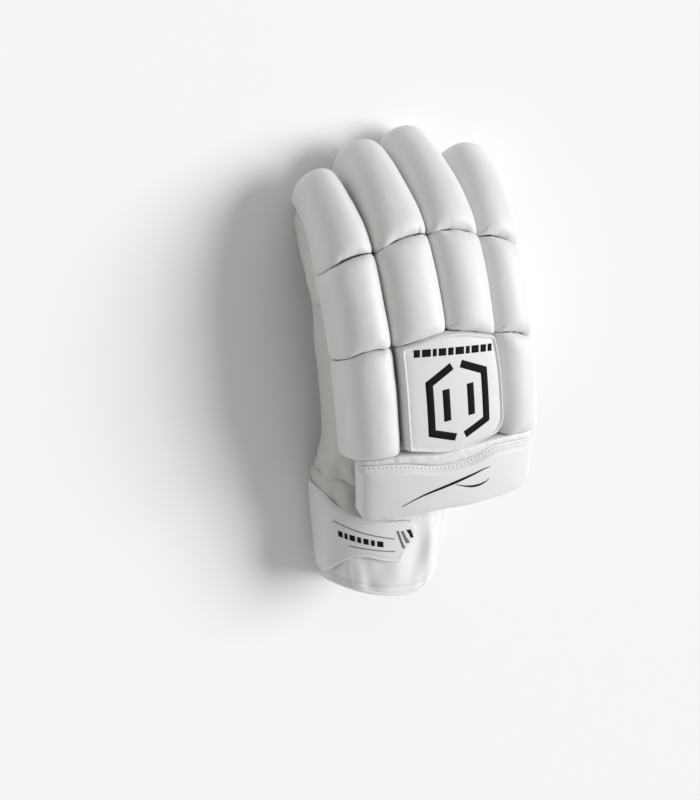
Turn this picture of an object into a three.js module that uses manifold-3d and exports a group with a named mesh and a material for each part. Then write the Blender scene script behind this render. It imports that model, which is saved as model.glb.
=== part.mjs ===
// A left-hand cricket batting glove that lies palm down: fingers towards +Y, index side towards +X,
// back of the hand up. Lengths are in millimetres and angles in degrees.
import * as THREE from 'three';
import Module from 'manifold-3d';

const wasm = await Module();
wasm.setup();

// Driving sizes
const COLUMN_WIDTH = 32.5;      // one finger column, across the back of the hand
const BACK_LENGTH = 56;         // knuckle seam to the wrist end of the back rolls
const MID_LENGTH = 56;          // knuckle seam to the seam under the fingertip rolls
const FINGER_REACH = 130;       // knuckle seam to the end of the middle finger, along the curl
const WRIST_REACH = 85;         // knuckle seam to the front edge of the wristband
const KNUCKLE_HEIGHT = 64;      // underside of the rolls at the knuckle seam, above the ground
const DOME_RADIUS = 190;        // how round the back of the hand is, from side to side
const ROLL_HEIGHT = 14;         // fullness of a padded roll at its crown
const ROLL_EDGE = 5.5;          // height at which neighbouring rolls press on each other
const BADGE_HEIGHT = 11.5;      // padded badge, above the underside of the rolls
const GUARD_THICKNESS = 9;      // padded guard over the wrist
const GUARD_LENGTH = 36;        // padded guard, from the rolls to its free edge
const STALL_DEPTH = 32;         // finger stall, back to palm, where it leaves the hand
const STALL_TIP_DEPTH = 26.5;    // finger stall, back to palm, near the fingertip
const HAND_DEPTH = 47;          // glove body, back to palm
const PALM_HOLLOW = 5;          // how far the middle of the palm is drawn up
const LEATHER = 2;              // leather and mesh walls
const THUMB_RADIUS = 14;        // thumb stall, half its width
const THUMB_LENGTH = 84;        // thumb stall, along its middle
const THUMB_PAD = 5;            // fullness of the padding on the thumb
const BAND_LENGTH = 58.5;        // wristband, along the arm
const BAND_HALF_WIDTH = 41;     // wristband, half its width
const BAND_HALF_DEPTH = 24.5;   // wristband, half its depth
const BAND_WALL = 3;            // padded wristband
const STRAP_WIDTH = 37;         // closing strap
const STRAP_THICKNESS = 2.2;    // closing strap
const GAP = 0.3;                // clearance between touching pieces
const TIP_WALL = 1.2;           // closed tips are this much thicker than the leather

// Colours
const LEATHER_WHITE = { color: 0xe9ebec, roughness: 0.5, metalness: 0 };
const MESH_WHITE = { color: 0xd9d9d6, roughness: 0.8, metalness: 0 };
const PALM_WHITE = { color: 0xe2e2df, roughness: 0.65, metalness: 0 };

// Slope of the back of the hand and of the curled fingers, downwards to the fingertips.
// at: share of the finger reach, measured from the knuckle seam
const CURL = [
  { at: -1.08, slope: -22 },
  { at: -0.69, slope: -16 },
  { at: -0.46, slope: -9 },
  { at: -0.19, slope: -3 },
  { at: 0.0, slope: 2 },
  { at: 0.23, slope: 8 },
  { at: 0.44, slope: 17 },
  { at: 0.58, slope: 31 },
  { at: 0.77, slope: 49 },
  { at: 0.96, slope: 64 },
  { at: 1.08, slope: 70 },
];

// The five lines between and beside the finger columns, from the little finger to the index finger.
// across: share of the column width; back: share of the back length; knuckle, tip: shares of the mid length
const LINES = [
  { across: -1.96, back: -0.98, knuckle: 0.07, tip: 0.98 },
  { across: -1.01, back: -0.97, knuckle: 0.12, tip: 1.05 },
  { across: 0.01, back: -1.03, knuckle: 0.17, tip: 1.11 },
  { across: 1.0, back: -1.07, knuckle: 0.01, tip: 0.99 },
  { across: 2.02, back: -1.2, knuckle: -0.2, tip: 0.74 },
];

// left, right: sides of the fingertip as shares of the column width; end: share of the finger reach;
// depth: share of the stall's tip depth
const FINGERS = [
  { name: 'little', left: -1.86, right: -1.05, end: 0.9, depth: 1.1 },
  { name: 'ring', left: -0.99, right: -0.01, end: 0.985, depth: 1.08 },
  { name: 'middle', left: 0.01, right: 0.97, end: 1.025, depth: 1.02 },
  { name: 'index', left: 1.0, right: 2.1, end: 0.9, depth: 1.08 },
];

// Rings of the glove's body, from the finger stalls to the wristband.
// at: share of the mid length in front of the knuckles and of the wrist reach behind them;
// left, right: shares of the column width; top, bottom: shares of the hand depth, out of the back;
// hollow: share of the palm hollow; skew: how far the ring leans round to the wristband's direction;
// square: how square the ring's shoulders are
const BODY_RINGS = [
  { at: 0.68, left: -1.94, right: 2.0, top: 0, bottom: -0.7, hollow: 0.0, skew: 0, square: 6 },
  { at: 0.3, left: -1.94, right: 2.0, top: 0, bottom: -0.88, hollow: 0.6, skew: 0, square: 6 },
  { at: -0.12, left: -1.93, right: 1.97, top: 0, bottom: -0.97, hollow: 1.0, skew: 0, square: 6 },
  { at: -0.4, left: -1.93, right: 1.93, top: 0, bottom: -0.98, hollow: 0.9, skew: 0.02, square: 5.5 },
  { at: -0.62, left: -1.95, right: 1.76, top: 0, bottom: -0.99, hollow: 0.5, skew: 0.08, square: 4.5 },
  { at: -0.8, left: -1.98, right: 1.2, top: -0.05, bottom: -1.02, hollow: 0.2, skew: 0.16, square: 3.2 },
  { at: -1.0, left: -2.02, right: 0.52, top: -0.15, bottom: -1.08, hollow: 0.0, skew: 0.24, square: 2.5 },
];

// Middle line of the thumb stall. across: share of the column width; along: share of the thumb length;
// up: share of the thumb radius; round: share of the thumb radius
const THUMB_PATH = [
  { across: 1.5, along: -0.66, up: 2.1, round: 1.22 },
  { across: 1.95, along: -0.46, up: 1.65, round: 1.2 },
  { across: 2.16, along: -0.2, up: 1.2, round: 1.1 },
  { across: 2.2, along: 0.06, up: 0.95, round: 1.0 },
  { across: 2.2, along: 0.27, up: 0.88, round: 0.96 },
  { across: 2.15, along: 0.38, up: 0.82, round: 0.86 },
];

const radians = (degrees) => degrees * Math.PI / 180;
const clamp = (value, low, high) => Math.min(high, Math.max(low, value));
const mix = (a, b, share) => a + (b - a) * share;
const smooth = (share) => clamp(share, 0, 1) ** 2 * (3 - 2 * clamp(share, 0, 1));
const signedPower = (value, power) => Math.sign(value) * Math.abs(value) ** power;

// Reads one column of a table at a place between its rows, along a straight line
function readTable(table, place, key, column) {
  const rising = table[table.length - 1][key] > table[0][key];
  const rows = rising ? table : [...table].reverse();
  let row = 0;
  while (row < rows.length - 2 && place > rows[row + 1][key]) row += 1;
  const share = (place - rows[row][key]) / (rows[row + 1][key] - rows[row][key]);
  return mix(rows[row][column], rows[row + 1][column], clamp(share, 0, 1));
}

// The middle line of the back, walked in short steps from the knuckle seam in both directions
const STEP = 1;
function walkSpine() {
  const places = new Map([[0, { y: 0, z: KNUCKLE_HEIGHT }]]);
  const reach = Math.ceil(FINGER_REACH * 1.1);
  for (const direction of [1, -1]) {
    let spot = { y: 0, z: KNUCKLE_HEIGHT };
    for (let count = 1; count <= reach; count += 1) {
      const slope = radians(readTable(CURL, direction * (count - 0.5) * STEP / FINGER_REACH, 'at', 'slope'));
      spot = {
        y: spot.y + direction * STEP * Math.cos(slope),
        z: spot.z - direction * STEP * Math.sin(slope),
      };
      places.set(direction * count, spot);
    }
  }
  return places;
}
const SPINE = walkSpine();

// A place on the bent back: across it, along it from the knuckle seam, and out of it. The rolls above
// fan out over the dome, while the walls below hang straight down.
function bent(across, along, out) {
  const low = Math.floor(along / STEP);
  const share = along / STEP - low;
  const y = mix(SPINE.get(low).y, SPINE.get(low + 1).y, share);
  const z = mix(SPINE.get(low).z, SPINE.get(low + 1).z, share);
  const slope = radians(readTable(CURL, along / FINGER_REACH, 'at', 'slope'));
  const turn = across / DOME_RADIUS;
  const radius = DOME_RADIUS + Math.max(out, 0);
  const rise = radius * Math.cos(turn) - DOME_RADIUS + Math.min(out, 0);
  return new THREE.Vector3(radius * Math.sin(turn), y + rise * Math.sin(slope), z + rise * Math.cos(slope));
}

// What rests on the ground is pressed flat there; lift is how far inside the outer face a point lies
function pressed(point, lift = 0) {
  return new THREE.Vector3(point.x, point.y, Math.max(point.z, lift));
}

// Makes one closed geometry from points and triangles, its faces outwards
function geometryFrom(points, triangles) {
  const merged = new Map();
  const positions = [];
  const index = points.map((point) => {
    const key = [point.x, point.y, point.z].map((value) => Math.round(value * 2000)).join(' ');
    if (!merged.has(key)) {
      merged.set(key, positions.length / 3);
      positions.push(point.x, point.y, point.z);
    }
    return merged.get(key);
  });
  const faces = triangles.map((corners) => corners.map((corner) => index[corner]));
  const kept = faces.filter(([a, b, c]) => a !== b && b !== c && c !== a);
  const corner = (id) => new THREE.Vector3().fromArray(positions, id * 3);
  const volume = kept.reduce((sum, [a, b, c]) => sum + corner(a).dot(corner(b).cross(corner(c))), 0);
  const outward = volume > 0 ? kept : kept.map(([a, b, c]) => [a, c, b]);
  const geometry = new THREE.BufferGeometry();
  geometry.setAttribute('position', new THREE.Float32BufferAttribute(positions, 3));
  geometry.setIndex(outward.flat());
  return geometry;
}

// A closed wall between an outer and an inner face. Both are functions of the counts round and along.
// A ring wall meets itself all round; a closed end has both faces drawn to a point there.
function wall({ outer, inner, round, along, ring = false, closedEnd = false }) {
  const points = [];
  const triangles = [];
  const faceOf = (place) => Array.from({ length: along + 1 }, (_, j) => (
    Array.from({ length: round + 1 }, (__, i) => points.push(place(ring && i === round ? 0 : i, j)) - 1)));
  const quad = (a, b, c, d) => triangles.push([a, b, c], [a, c, d]);
  const out = faceOf(outer);
  const into = faceOf(inner);
  for (let j = 0; j < along; j += 1) {
    for (let i = 0; i < round; i += 1) {
      quad(out[j][i], out[j][i + 1], out[j + 1][i + 1], out[j + 1][i]);
      quad(into[j][i], into[j + 1][i], into[j + 1][i + 1], into[j][i + 1]);
    }
    if (!ring) {
      quad(out[j][0], out[j + 1][0], into[j + 1][0], into[j][0]);
      quad(out[j][round], into[j][round], into[j + 1][round], out[j + 1][round]);
    }
  }
  for (let i = 0; i < round; i += 1) {
    quad(out[0][i], into[0][i], into[0][i + 1], out[0][i + 1]);
    if (!closedEnd) quad(out[along][i], out[along][i + 1], into[along][i + 1], into[along][i]);
  }
  return geometryFrom(points, triangles);
}

// Cuts and their results
function asManifold(geometry) {
  const mesh = new wasm.Mesh({
    numProp: 3,
    vertProperties: new Float32Array(geometry.getAttribute('position').array),
    triVerts: new Uint32Array(geometry.getIndex().array),
  });
  return new wasm.Manifold(mesh);
}

function asGeometry(manifold) {
  const mesh = manifold.getMesh();
  const points = [];
  for (let id = 0; id < mesh.vertProperties.length; id += mesh.numProp) {
    points.push(new THREE.Vector3(...mesh.vertProperties.slice(id, id + 3)));
  }
  const triangles = [];
  for (let id = 0; id < mesh.triVerts.length; id += 3) triangles.push([...mesh.triVerts.slice(id, id + 3)]);
  return geometryFrom(points, triangles);
}

const cut = (geometry, tool) => asGeometry(asManifold(geometry).subtract(asManifold(tool)));

// How far the back has turned over towards the side wall
const SHOULDER = { reach: 2.12, square: 6 };
function shoulder(across) {
  const share = clamp(Math.abs(across) / (SHOULDER.reach * COLUMN_WIDTH), 0, 1);
  return HAND_DEPTH / 2 * ((1 - share ** SHOULDER.square) ** (1 / SHOULDER.square) - 1);
}

// A padded roll over a four-cornered cell of the back
const ACROSS_STEPS = [-1, -0.93, -0.76, -0.42, 0, 0.42, 0.76, 0.93, 1];
const ALONG_STEPS = [-1, -0.95, -0.84, -0.55, 0, 0.55, 0.84, 0.95, 1];
const TIP_STEPS = [-1, -0.95, -0.82, -0.4, 0.1, 0.45, 0.7, 0.86, 0.95, 1];
const BASE_TUCK = 0.94;         // share of its width that a roll keeps at its underside
const FULLNESS = { across: 2.6, along: 5, tip: 5 };
const SEAM_GAP = 0.2;           // a roll keeps this far inside each seam line
const TIP_ROUND = { from: 0.4, power: 2.8, least: 0.34 };

const crown = (share, power) => Math.sqrt(Math.max(0, 1 - Math.abs(share) ** power));

function tipNarrowing(share) {
  const past = clamp((share - TIP_ROUND.from) / (1 - TIP_ROUND.from), 0, 1);
  return Math.max(TIP_ROUND.least, (1 - past ** TIP_ROUND.power) ** (1 / TIP_ROUND.power));
}

function roll({ low, high, tip = false }) {
  const alongSteps = tip ? TIP_STEPS : ALONG_STEPS;
  const place = (a, b, out) => {
    const narrow = tip ? tipNarrowing(b) : 1;
    const share = (b + 1) / 2;
    const between = (key) => mix(low[key], high[key], share);
    const middle = (between('left') + between('right')) / 2;
    const half = ((between('right') - between('left')) / 2 - SEAM_GAP) * narrow;
    const along = mix(between('leftAlong'), between('rightAlong'), (a + 1) / 2) - b * SEAM_GAP;
    const across = middle + a * half;
    return bent(across, along, out + shoulder(across));
  };
  const top = (i, j) => {
    const a = ACROSS_STEPS[i];
    const b = alongSteps[j];
    const full = crown(a, FULLNESS.across) * crown(b, tip && b > 0 ? FULLNESS.tip : FULLNESS.along);
    return place(a, b, ROLL_EDGE + (ROLL_HEIGHT - ROLL_EDGE) * full);
  };
  const base = (i, j) => place(ACROSS_STEPS[i] * BASE_TUCK, alongSteps[j] * BASE_TUCK, GAP);
  return wall({ outer: top, inner: base, round: ACROSS_STEPS.length - 1, along: alongSteps.length - 1 });
}

function columnCell(index, lower, upper) {
  const [left, right] = [LINES[index], LINES[index + 1]];
  const spot = (line, key) => line[key] * (key === 'back' ? BACK_LENGTH : MID_LENGTH);
  const side = (key) => ({
    left: left.across * COLUMN_WIDTH,
    right: right.across * COLUMN_WIDTH,
    leftAlong: spot(left, key),
    rightAlong: spot(right, key),
  });
  return { low: side(lower), high: side(upper) };
}

function tipRoll(index) {
  const finger = FINGERS[index];
  const end = finger.end * FINGER_REACH;
  const { high: low } = columnCell(index, 'knuckle', 'tip');
  const high = {
    left: finger.left * COLUMN_WIDTH,
    right: finger.right * COLUMN_WIDTH,
    leftAlong: end,
    rightAlong: end,
  };
  return roll({ low, high, tip: true });
}

// A finger stall: a leather tube with a closed tip, open where it meets the body
const STALL_SIDES = 12;
const STALL_RINGS = [
  { at: 0, shrink: 1 },
  { at: 0.22, shrink: 1 },
  { at: 0.45, shrink: 1 },
  { at: 0.65, shrink: 1 },
  { at: 0.82, shrink: 0.97 },
  { at: 0.93, shrink: 0.82 },
  { at: 0.985, shrink: 0.52 },
  { at: 1, shrink: 0 },
];
const STALL_LOWER = 0.4;        // the outer stalls sit this much lower under their rolls
const STALL_SHORTER = 4;        // the stall ends this far inside the fingertip roll
const STALL_SQUARE = { back: 4.5, palm: 2.25 };
const STALL_TAPER = 1.6;        // the stall has its tip depth once 1 / 1.6 of its length is passed

function stall(index) {
  const finger = FINGERS[index];
  const start = BODY_RINGS[0].at * MID_LENGTH + GAP;
  const end = finger.end * FINGER_REACH;
  const bounds = [LINES[index], LINES[index + 1]].map((line) => line.across * COLUMN_WIDTH);
  const face = (inset) => (i, j) => {
    const row = STALL_RINGS[j];
    const last = end - STALL_SHORTER - inset * TIP_WALL;
    const along = j === 0 ? start : mix(start, last, row.at);
    const share = (along - start) / (end - start);
    const left = mix(bounds[0], finger.left * COLUMN_WIDTH, share) + GAP / 2 + inset;
    const right = mix(bounds[1], finger.right * COLUMN_WIDTH, share) - GAP / 2 - inset;
    const depth = mix(STALL_DEPTH, STALL_TIP_DEPTH * finger.depth, smooth(share * STALL_TAPER));
    const top = -inset - Math.abs(index - (FINGERS.length - 1) / 2) * STALL_LOWER;
    const bottom = -depth + inset;
    const angle = 2 * Math.PI * i / STALL_SIDES;
    const power = 2 / (Math.sin(angle) > 0 ? STALL_SQUARE.back : STALL_SQUARE.palm);
    const across = (left + right) / 2 + row.shrink * (right - left) / 2 * signedPower(Math.cos(angle), power);
    const rise = signedPower(Math.sin(angle), power);
    const out = (top + bottom) / 2 + row.shrink * (top - bottom) / 2 * rise;
    return pressed(bent(across, along, out + shoulder(across) * Math.max(0, rise)), inset);
  };
  return wall({
    outer: face(0), inner: face(LEATHER), round: STALL_SIDES, along: STALL_RINGS.length - 1,
    ring: true, closedEnd: true,
  });
}

// A point on the glove's body. ring: place along the body's rings; angle: 0 at the index side, 90 at
// the back, 180 at the little finger's side, 270 at the palm; inset: depth below the outer face
const PALM_SQUARE = 2.25;       // how square the ring's corners are at the palm
function bodyPoint(ring, angle, inset, lengthen = 0) {
  const row = BODY_RINGS[ring];
  const reach = row.at > 0 ? MID_LENGTH : WRIST_REACH;
  const left = row.left * COLUMN_WIDTH + inset;
  const right = row.right * COLUMN_WIDTH - inset;
  const top = row.top * HAND_DEPTH - inset;
  const bottom = row.bottom * HAND_DEPTH + inset;
  const turn = radians(angle);
  const power = 2 / (Math.sin(turn) > 0 ? row.square : Math.min(row.square, PALM_SQUARE));
  const side = signedPower(Math.cos(turn), power);
  const rise = signedPower(Math.sin(turn), power);
  const across = (left + right) / 2 + (right - left) / 2 * side;
  const drawnUp = rise < 0 ? row.hollow * PALM_HOLLOW * (1 - side ** 2) * Math.abs(rise) : 0;
  const out = (top + bottom) / 2 + (top - bottom) / 2 * rise + drawnUp;
  const along = row.at * reach - row.skew * (across - (left + right) / 2) + lengthen;
  return pressed(bent(across, along, out), inset);
}

// The panels round the body. from, to: angles round it; steps: flat strips across the panel
const BODY_PANELS = [
  { name: 'back_and_sides', from: -26, to: 203, steps: 20, material: LEATHER_WHITE, bored: true },
  { name: 'side_gusset', from: 203, to: 240, steps: 5, material: MESH_WHITE },
  { name: 'palm', from: 240, to: 334, steps: 10, material: PALM_WHITE },
];
const PANEL_EDGE = 0.25;        // angle that a panel keeps back at each of its long edges
function bodyPanel({ from, to, steps }) {
  const angleAt = (i) => mix(from + PANEL_EDGE, to - PANEL_EDGE, i / steps);
  return wall({
    outer: (i, j) => bodyPoint(j, angleAt(i), 0),
    inner: (i, j) => bodyPoint(j, angleAt(i), LEATHER),
    round: steps,
    along: BODY_RINGS.length - 1,
  });
}

// The whole body as one closed block, grown by a clearance, used to fit the thumb against it
const BODY_SIDES = 32;
function bodyBlock(clearance) {
  const points = [];
  const triangles = [];
  const last = BODY_RINGS.length - 1;
  const id = (ring, side) => ring * BODY_SIDES + (side % BODY_SIDES);
  for (let ring = 0; ring <= last; ring += 1) {
    for (let side = 0; side < BODY_SIDES; side += 1) {
      points.push(bodyPoint(ring, 360 * side / BODY_SIDES, -clearance));
    }
  }
  for (let ring = 0; ring < last; ring += 1) {
    for (let side = 0; side < BODY_SIDES; side += 1) {
      triangles.push([id(ring, side), id(ring, side + 1), id(ring + 1, side + 1)]);
      triangles.push([id(ring, side), id(ring + 1, side + 1), id(ring + 1, side)]);
    }
  }
  for (const [ring, flip] of [[0, true], [last, false]]) {
    const middle = points.push(points[id(ring, 0)].clone().lerp(points[id(ring, BODY_SIDES / 2)], 0.5)) - 1;
    for (let side = 0; side < BODY_SIDES; side += 1) {
      const corners = [middle, id(ring, side), id(ring, side + 1)];
      triangles.push(flip ? [corners[0], corners[2], corners[1]] : corners);
    }
  }
  return geometryFrom(points, triangles);
}

// The thumb: a stall along a bent middle line and pads on its outer side
const thumbLine = new THREE.CatmullRomCurve3(THUMB_PATH.map((row) => new THREE.Vector3(
  row.across * COLUMN_WIDTH, row.along * THUMB_LENGTH, row.up * THUMB_RADIUS)));
const THUMB_SIDES = 12;
const THUMB_RINGS = [0, 0.18, 0.36, 0.55, 0.72, 0.85, 0.94, 0.985, 1];

function thumbPoint(at, angle, out, shrink = 1) {
  const middle = thumbLine.getPointAt(at);
  const ahead = thumbLine.getTangentAt(at);
  const side = new THREE.Vector3(ahead.y, -ahead.x, 0).normalize();
  const up = new THREE.Vector3().crossVectors(side, ahead).normalize();
  const place = at * (THUMB_PATH.length - 1);
  const row = Math.min(Math.floor(place), THUMB_PATH.length - 2);
  const round = mix(THUMB_PATH[row].round, THUMB_PATH[row + 1].round, place - row);
  const radius = (round * THUMB_RADIUS + out) * shrink;
  const turn = radians(angle);
  return middle.clone()
    .addScaledVector(side, radius * Math.cos(turn))
    .addScaledVector(up, radius * Math.sin(turn));
}

// The thumb's end is rounded past this share of its length
const THUMB_ROUND = { from: 0.8, power: 2.2 };
function thumbShrink(at) {
  const past = clamp((at - THUMB_ROUND.from) / (1 - THUMB_ROUND.from), 0, 1);
  return Math.sqrt(1 - past ** THUMB_ROUND.power);
}

function thumbStall() {
  const face = (inset) => (i, j) => {
    const at = THUMB_RINGS[j] * (1 - inset * TIP_WALL / THUMB_LENGTH);
    return pressed(thumbPoint(at, 360 * i / THUMB_SIDES, -inset, thumbShrink(THUMB_RINGS[j])), inset);
  };
  const tube = wall({
    outer: face(0), inner: face(LEATHER), round: THUMB_SIDES, along: THUMB_RINGS.length - 1,
    ring: true, closedEnd: true,
  });
  return cut(tube, bodyBlock(GAP));
}

// The way through the body's side wall into the thumb
const THUMB_BORE_RINGS = [0, 0.18, 0.36, 0.5];
function thumbBore() {
  const rings = THUMB_BORE_RINGS;
  const points = [];
  const triangles = [];
  const id = (ring, side) => ring * THUMB_SIDES + (side % THUMB_SIDES);
  rings.forEach((at) => {
    for (let side = 0; side < THUMB_SIDES; side += 1) {
      points.push(thumbPoint(at, 360 * side / THUMB_SIDES, -LEATHER));
    }
  });
  for (let ring = 0; ring < rings.length - 1; ring += 1) {
    for (let side = 0; side < THUMB_SIDES; side += 1) {
      triangles.push([id(ring, side), id(ring, side + 1), id(ring + 1, side + 1)]);
      triangles.push([id(ring, side), id(ring + 1, side + 1), id(ring + 1, side)]);
    }
  }
  [[0, true], [rings.length - 1, false]].forEach(([ring, flip]) => {
    for (let side = 1; side < THUMB_SIDES - 1; side += 1) {
      const corners = [id(ring, 0), id(ring, side), id(ring, side + 1)];
      triangles.push(flip ? [corners[0], corners[2], corners[1]] : corners);
    }
  });
  return geometryFrom(points, triangles);
}

const PAD_ANGLES = { from: -35, to: 108 };
const PAD_ACROSS = [-1, -0.87, -0.6, -0.2, 0.2, 0.6, 0.87, 1];
const PAD_ALONG = [-1, -0.9, -0.6, -0.2, 0.2, 0.6, 0.9, 1];
const THUMB_PADS = { base: [0.36, 0.64], tip: [0.655, 0.97] };
const PAD_SHAPE = { edge: 1.6, lift: 0.7, tuck: 0.97, across: 3, along: 4 };
function thumbPad([start, end]) {
  const place = (a, b, out) => {
    const at = mix(start, end, (b + 1) / 2);
    const angle = mix(PAD_ANGLES.from, PAD_ANGLES.to, (a + 1) / 2);
    return pressed(thumbPoint(at, angle, out, thumbShrink(at)));
  };
  const top = (i, j) => {
    const [a, b] = [PAD_ACROSS[i], PAD_ALONG[j]];
    const full = crown(a, PAD_SHAPE.across) * crown(b, PAD_SHAPE.along);
    return place(a, b, mix(PAD_SHAPE.edge, THUMB_PAD, full));
  };
  const base = (i, j) => place(PAD_ACROSS[i], PAD_ALONG[j] * PAD_SHAPE.tuck, PAD_SHAPE.lift);
  const pad = wall({ outer: top, inner: base, round: PAD_ACROSS.length - 1, along: PAD_ALONG.length - 1 });
  return cut(pad, bodyBlock(GAP));
}

// The badge: a padded plate with a raised rim over the middle of the back.
// across: share of the column width; along: share of the back length
const BADGE_OUTLINE = [
  { across: -0.97, along: 0.1 },
  { across: -0.5, along: 0.135 },
  { across: -0.02, along: 0.165 },
  { across: 0.46, along: 0.085 },
  { across: 0.86, along: 0.015 },
  { across: 0.93, along: -0.3 },
  { across: 0.95, along: -0.6 },
  { across: 0.95, along: -0.88 },
  { across: 0.8, along: -1.0 },
  { across: 0.3, along: -1.04 },
  { across: -0.2, along: -1.05 },
  { across: -0.6, along: -0.985 },
  { across: -0.95, along: -0.92 },
  { across: -0.98, along: -0.6 },
  { across: -0.98, along: -0.25 },
];
// inset: distance inside the outline; rise: share of the badge's height
const BADGE_RINGS = [
  { inset: 0.9, rise: 0 },
  { inset: 0.1, rise: 0.3 },
  { inset: 0.3, rise: 0.72 },
  { inset: 1.6, rise: 0.95 },
  { inset: 3.0, rise: 1 },
  { inset: 4.4, rise: 0.92 },
  { inset: 14, rise: 0.94 },
  { inset: 24, rise: 0.95 },
];
const BADGE_BASE_INSETS = [24, 12];

function badge() {
  const count = BADGE_OUTLINE.length;
  const outline = BADGE_OUTLINE.map((row) => new THREE.Vector2(
    row.across * COLUMN_WIDTH - Math.sign(row.across) * GAP / 2, row.along * BACK_LENGTH - GAP));
  const centre = outline.reduce((sum, spot) => sum.add(spot), new THREE.Vector2()).divideScalar(count);
  const points = [];
  const triangles = [];
  const ring = (inset, out) => outline.map((spot) => {
    const place = spot.clone().sub(centre);
    place.multiplyScalar(1 - inset / COLUMN_WIDTH).add(centre);
    return points.push(bent(place.x, place.y, out)) - 1;
  });
  const base = 2 * GAP;
  const rings = BADGE_BASE_INSETS.map((inset) => ring(inset, base));
  BADGE_RINGS.forEach((row) => rings.push(ring(row.inset, mix(base, BADGE_HEIGHT, row.rise))));
  rings.slice(1).forEach((upper, row) => {
    const lower = rings[row];
    for (let side = 0; side < count; side += 1) {
      const next = (side + 1) % count;
      triangles.push([lower[side], lower[next], upper[next]], [lower[side], upper[next], upper[side]]);
    }
  });
  const last = BADGE_RINGS[BADGE_RINGS.length - 1];
  const ends = [[rings[0], base], [rings[rings.length - 1], mix(base, BADGE_HEIGHT, last.rise)]];
  ends.forEach(([edge, out], end) => {
    const middle = points.push(bent(centre.x, centre.y, out)) - 1;
    edge.forEach((corner, side) => {
      const next = edge[(side + 1) % count];
      triangles.push(end === 0 ? [middle, next, corner] : [middle, corner, next]);
    });
  });
  return geometryFrom(points, triangles);
}

// The guard over the wrist and the welt that it hangs from, from the little finger's side.
// across, freeAcross: shares of the column width at the welt and at the free edge; front, stitch:
// shares of the back length; free: share of the guard length, past the stitch line
const GUARD_ROWS = [
  { across: -1.78, front: -0.975, stitch: -1.04, freeAcross: -1.78, free: -0.8 },
  { across: -1.66, front: -0.974, stitch: -1.045, freeAcross: -1.68, free: -0.94 },
  { across: -1.4, front: -0.972, stitch: -1.055, freeAcross: -1.38, free: -0.97 },
  { across: -1.0, front: -0.975, stitch: -1.085, freeAcross: -0.95, free: -0.91 },
  { across: -0.3, front: -1.045, stitch: -1.19, freeAcross: -0.3, free: -0.76 },
  { across: 0.25, front: -1.05, stitch: -1.2, freeAcross: 0.22, free: -0.81 },
  { across: 0.8, front: -1.065, stitch: -1.155, freeAcross: 0.74, free: -0.93 },
  { across: 1.3, front: -1.108, stitch: -1.2, freeAcross: 1.2, free: -0.9 },
  { across: 1.68, front: -1.156, stitch: -1.26, freeAcross: 1.55, free: -0.78 },
  { across: 1.89, front: -1.183, stitch: -1.3, freeAcross: 1.76, free: -0.5 },
];
// share: from the stitch line to the free edge; rise: share of the guard's thickness
const GUARD_STEPS = [
  { share: 0, rise: 0.55 },
  { share: 0.08, rise: 0.86 },
  { share: 0.25, rise: 1 },
  { share: 0.6, rise: 1 },
  { share: 0.88, rise: 0.9 },
  { share: 0.97, rise: 0.66 },
  { share: 1, rise: 0.4 },
];
const GUARD_SIDE_RISE = [0.45, 0.84, 1, 1, 1, 1, 1, 1, 0.84, 0.45];
const GUARD_LIFT = 1.5;         // the free edge stands this far off the wrist
const GUARD_SEAT = 1;           // least thickness of the guard
const WELT_HEIGHT = 8.5;
const WELT_ENDS = 0.6;          // share of the welt's height that its ends keep at least

function wristGuard() {
  const place = (i, j, out) => {
    const row = GUARD_ROWS[i];
    const { share } = GUARD_STEPS[j];
    const stitch = row.stitch * BACK_LENGTH - GAP;
    const along = mix(stitch, stitch + row.free * GUARD_LENGTH, share);
    const across = mix(row.across, row.freeAcross, share) * COLUMN_WIDTH;
    return bent(across, along, out + shoulder(across) + GUARD_LIFT * share);
  };
  return wall({
    outer: (i, j) => place(i, j, GUARD_THICKNESS * GUARD_STEPS[j].rise * GUARD_SIDE_RISE[i] + GUARD_SEAT),
    inner: (i, j) => place(i, j, 2 * GAP),
    round: GUARD_ROWS.length - 1,
    along: GUARD_STEPS.length - 1,
  });
}

const WELT_STEPS = [
  { share: 0, rise: 0.6 },
  { share: 0.3, rise: 1 },
  { share: 0.7, rise: 1 },
  { share: 1, rise: 0.7 },
];
function guardWelt() {
  const place = (i, j, out) => {
    const row = GUARD_ROWS[i];
    const front = row.front * BACK_LENGTH - 2 * GAP;
    const along = mix(front, row.stitch * BACK_LENGTH, WELT_STEPS[j].share);
    const across = row.across * COLUMN_WIDTH;
    return bent(across, along, out + shoulder(across));
  };
  return wall({
    outer: (i, j) => place(i, j, WELT_HEIGHT * WELT_STEPS[j].rise * mix(WELT_ENDS, 1, GUARD_SIDE_RISE[i])),
    inner: (i, j) => place(i, j, 2 * GAP),
    round: GUARD_ROWS.length - 1,
    along: WELT_STEPS.length - 1,
  });
}

// The wristband goes on from the body's last ring to its own open end
// across: share of the column width; halfWidth: share of the band's half width; skew: lean of the open end;
// square: how square its corners are
const BAND_END = { across: -1.05, halfWidth: 0.88, skew: 0.2, square: 2.3 };
// The open end is cut round: how far its two sides are drawn in along the arm
const BAND_CUT = { left: 6, right: 29, power: 2.3 };
const BAND_SIDES = 24;
const BAND_RINGS = [0, 0.12, 0.5, 0.9, 1];
const BAND_PRESS = 1;           // how far the band's roundness is pressed in by the ground
const BAND_STEP = 1.2;          // the band stands this much proud of the body
const BAND_RIM = 0.8;           // how far the band's two edges are rounded in

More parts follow.
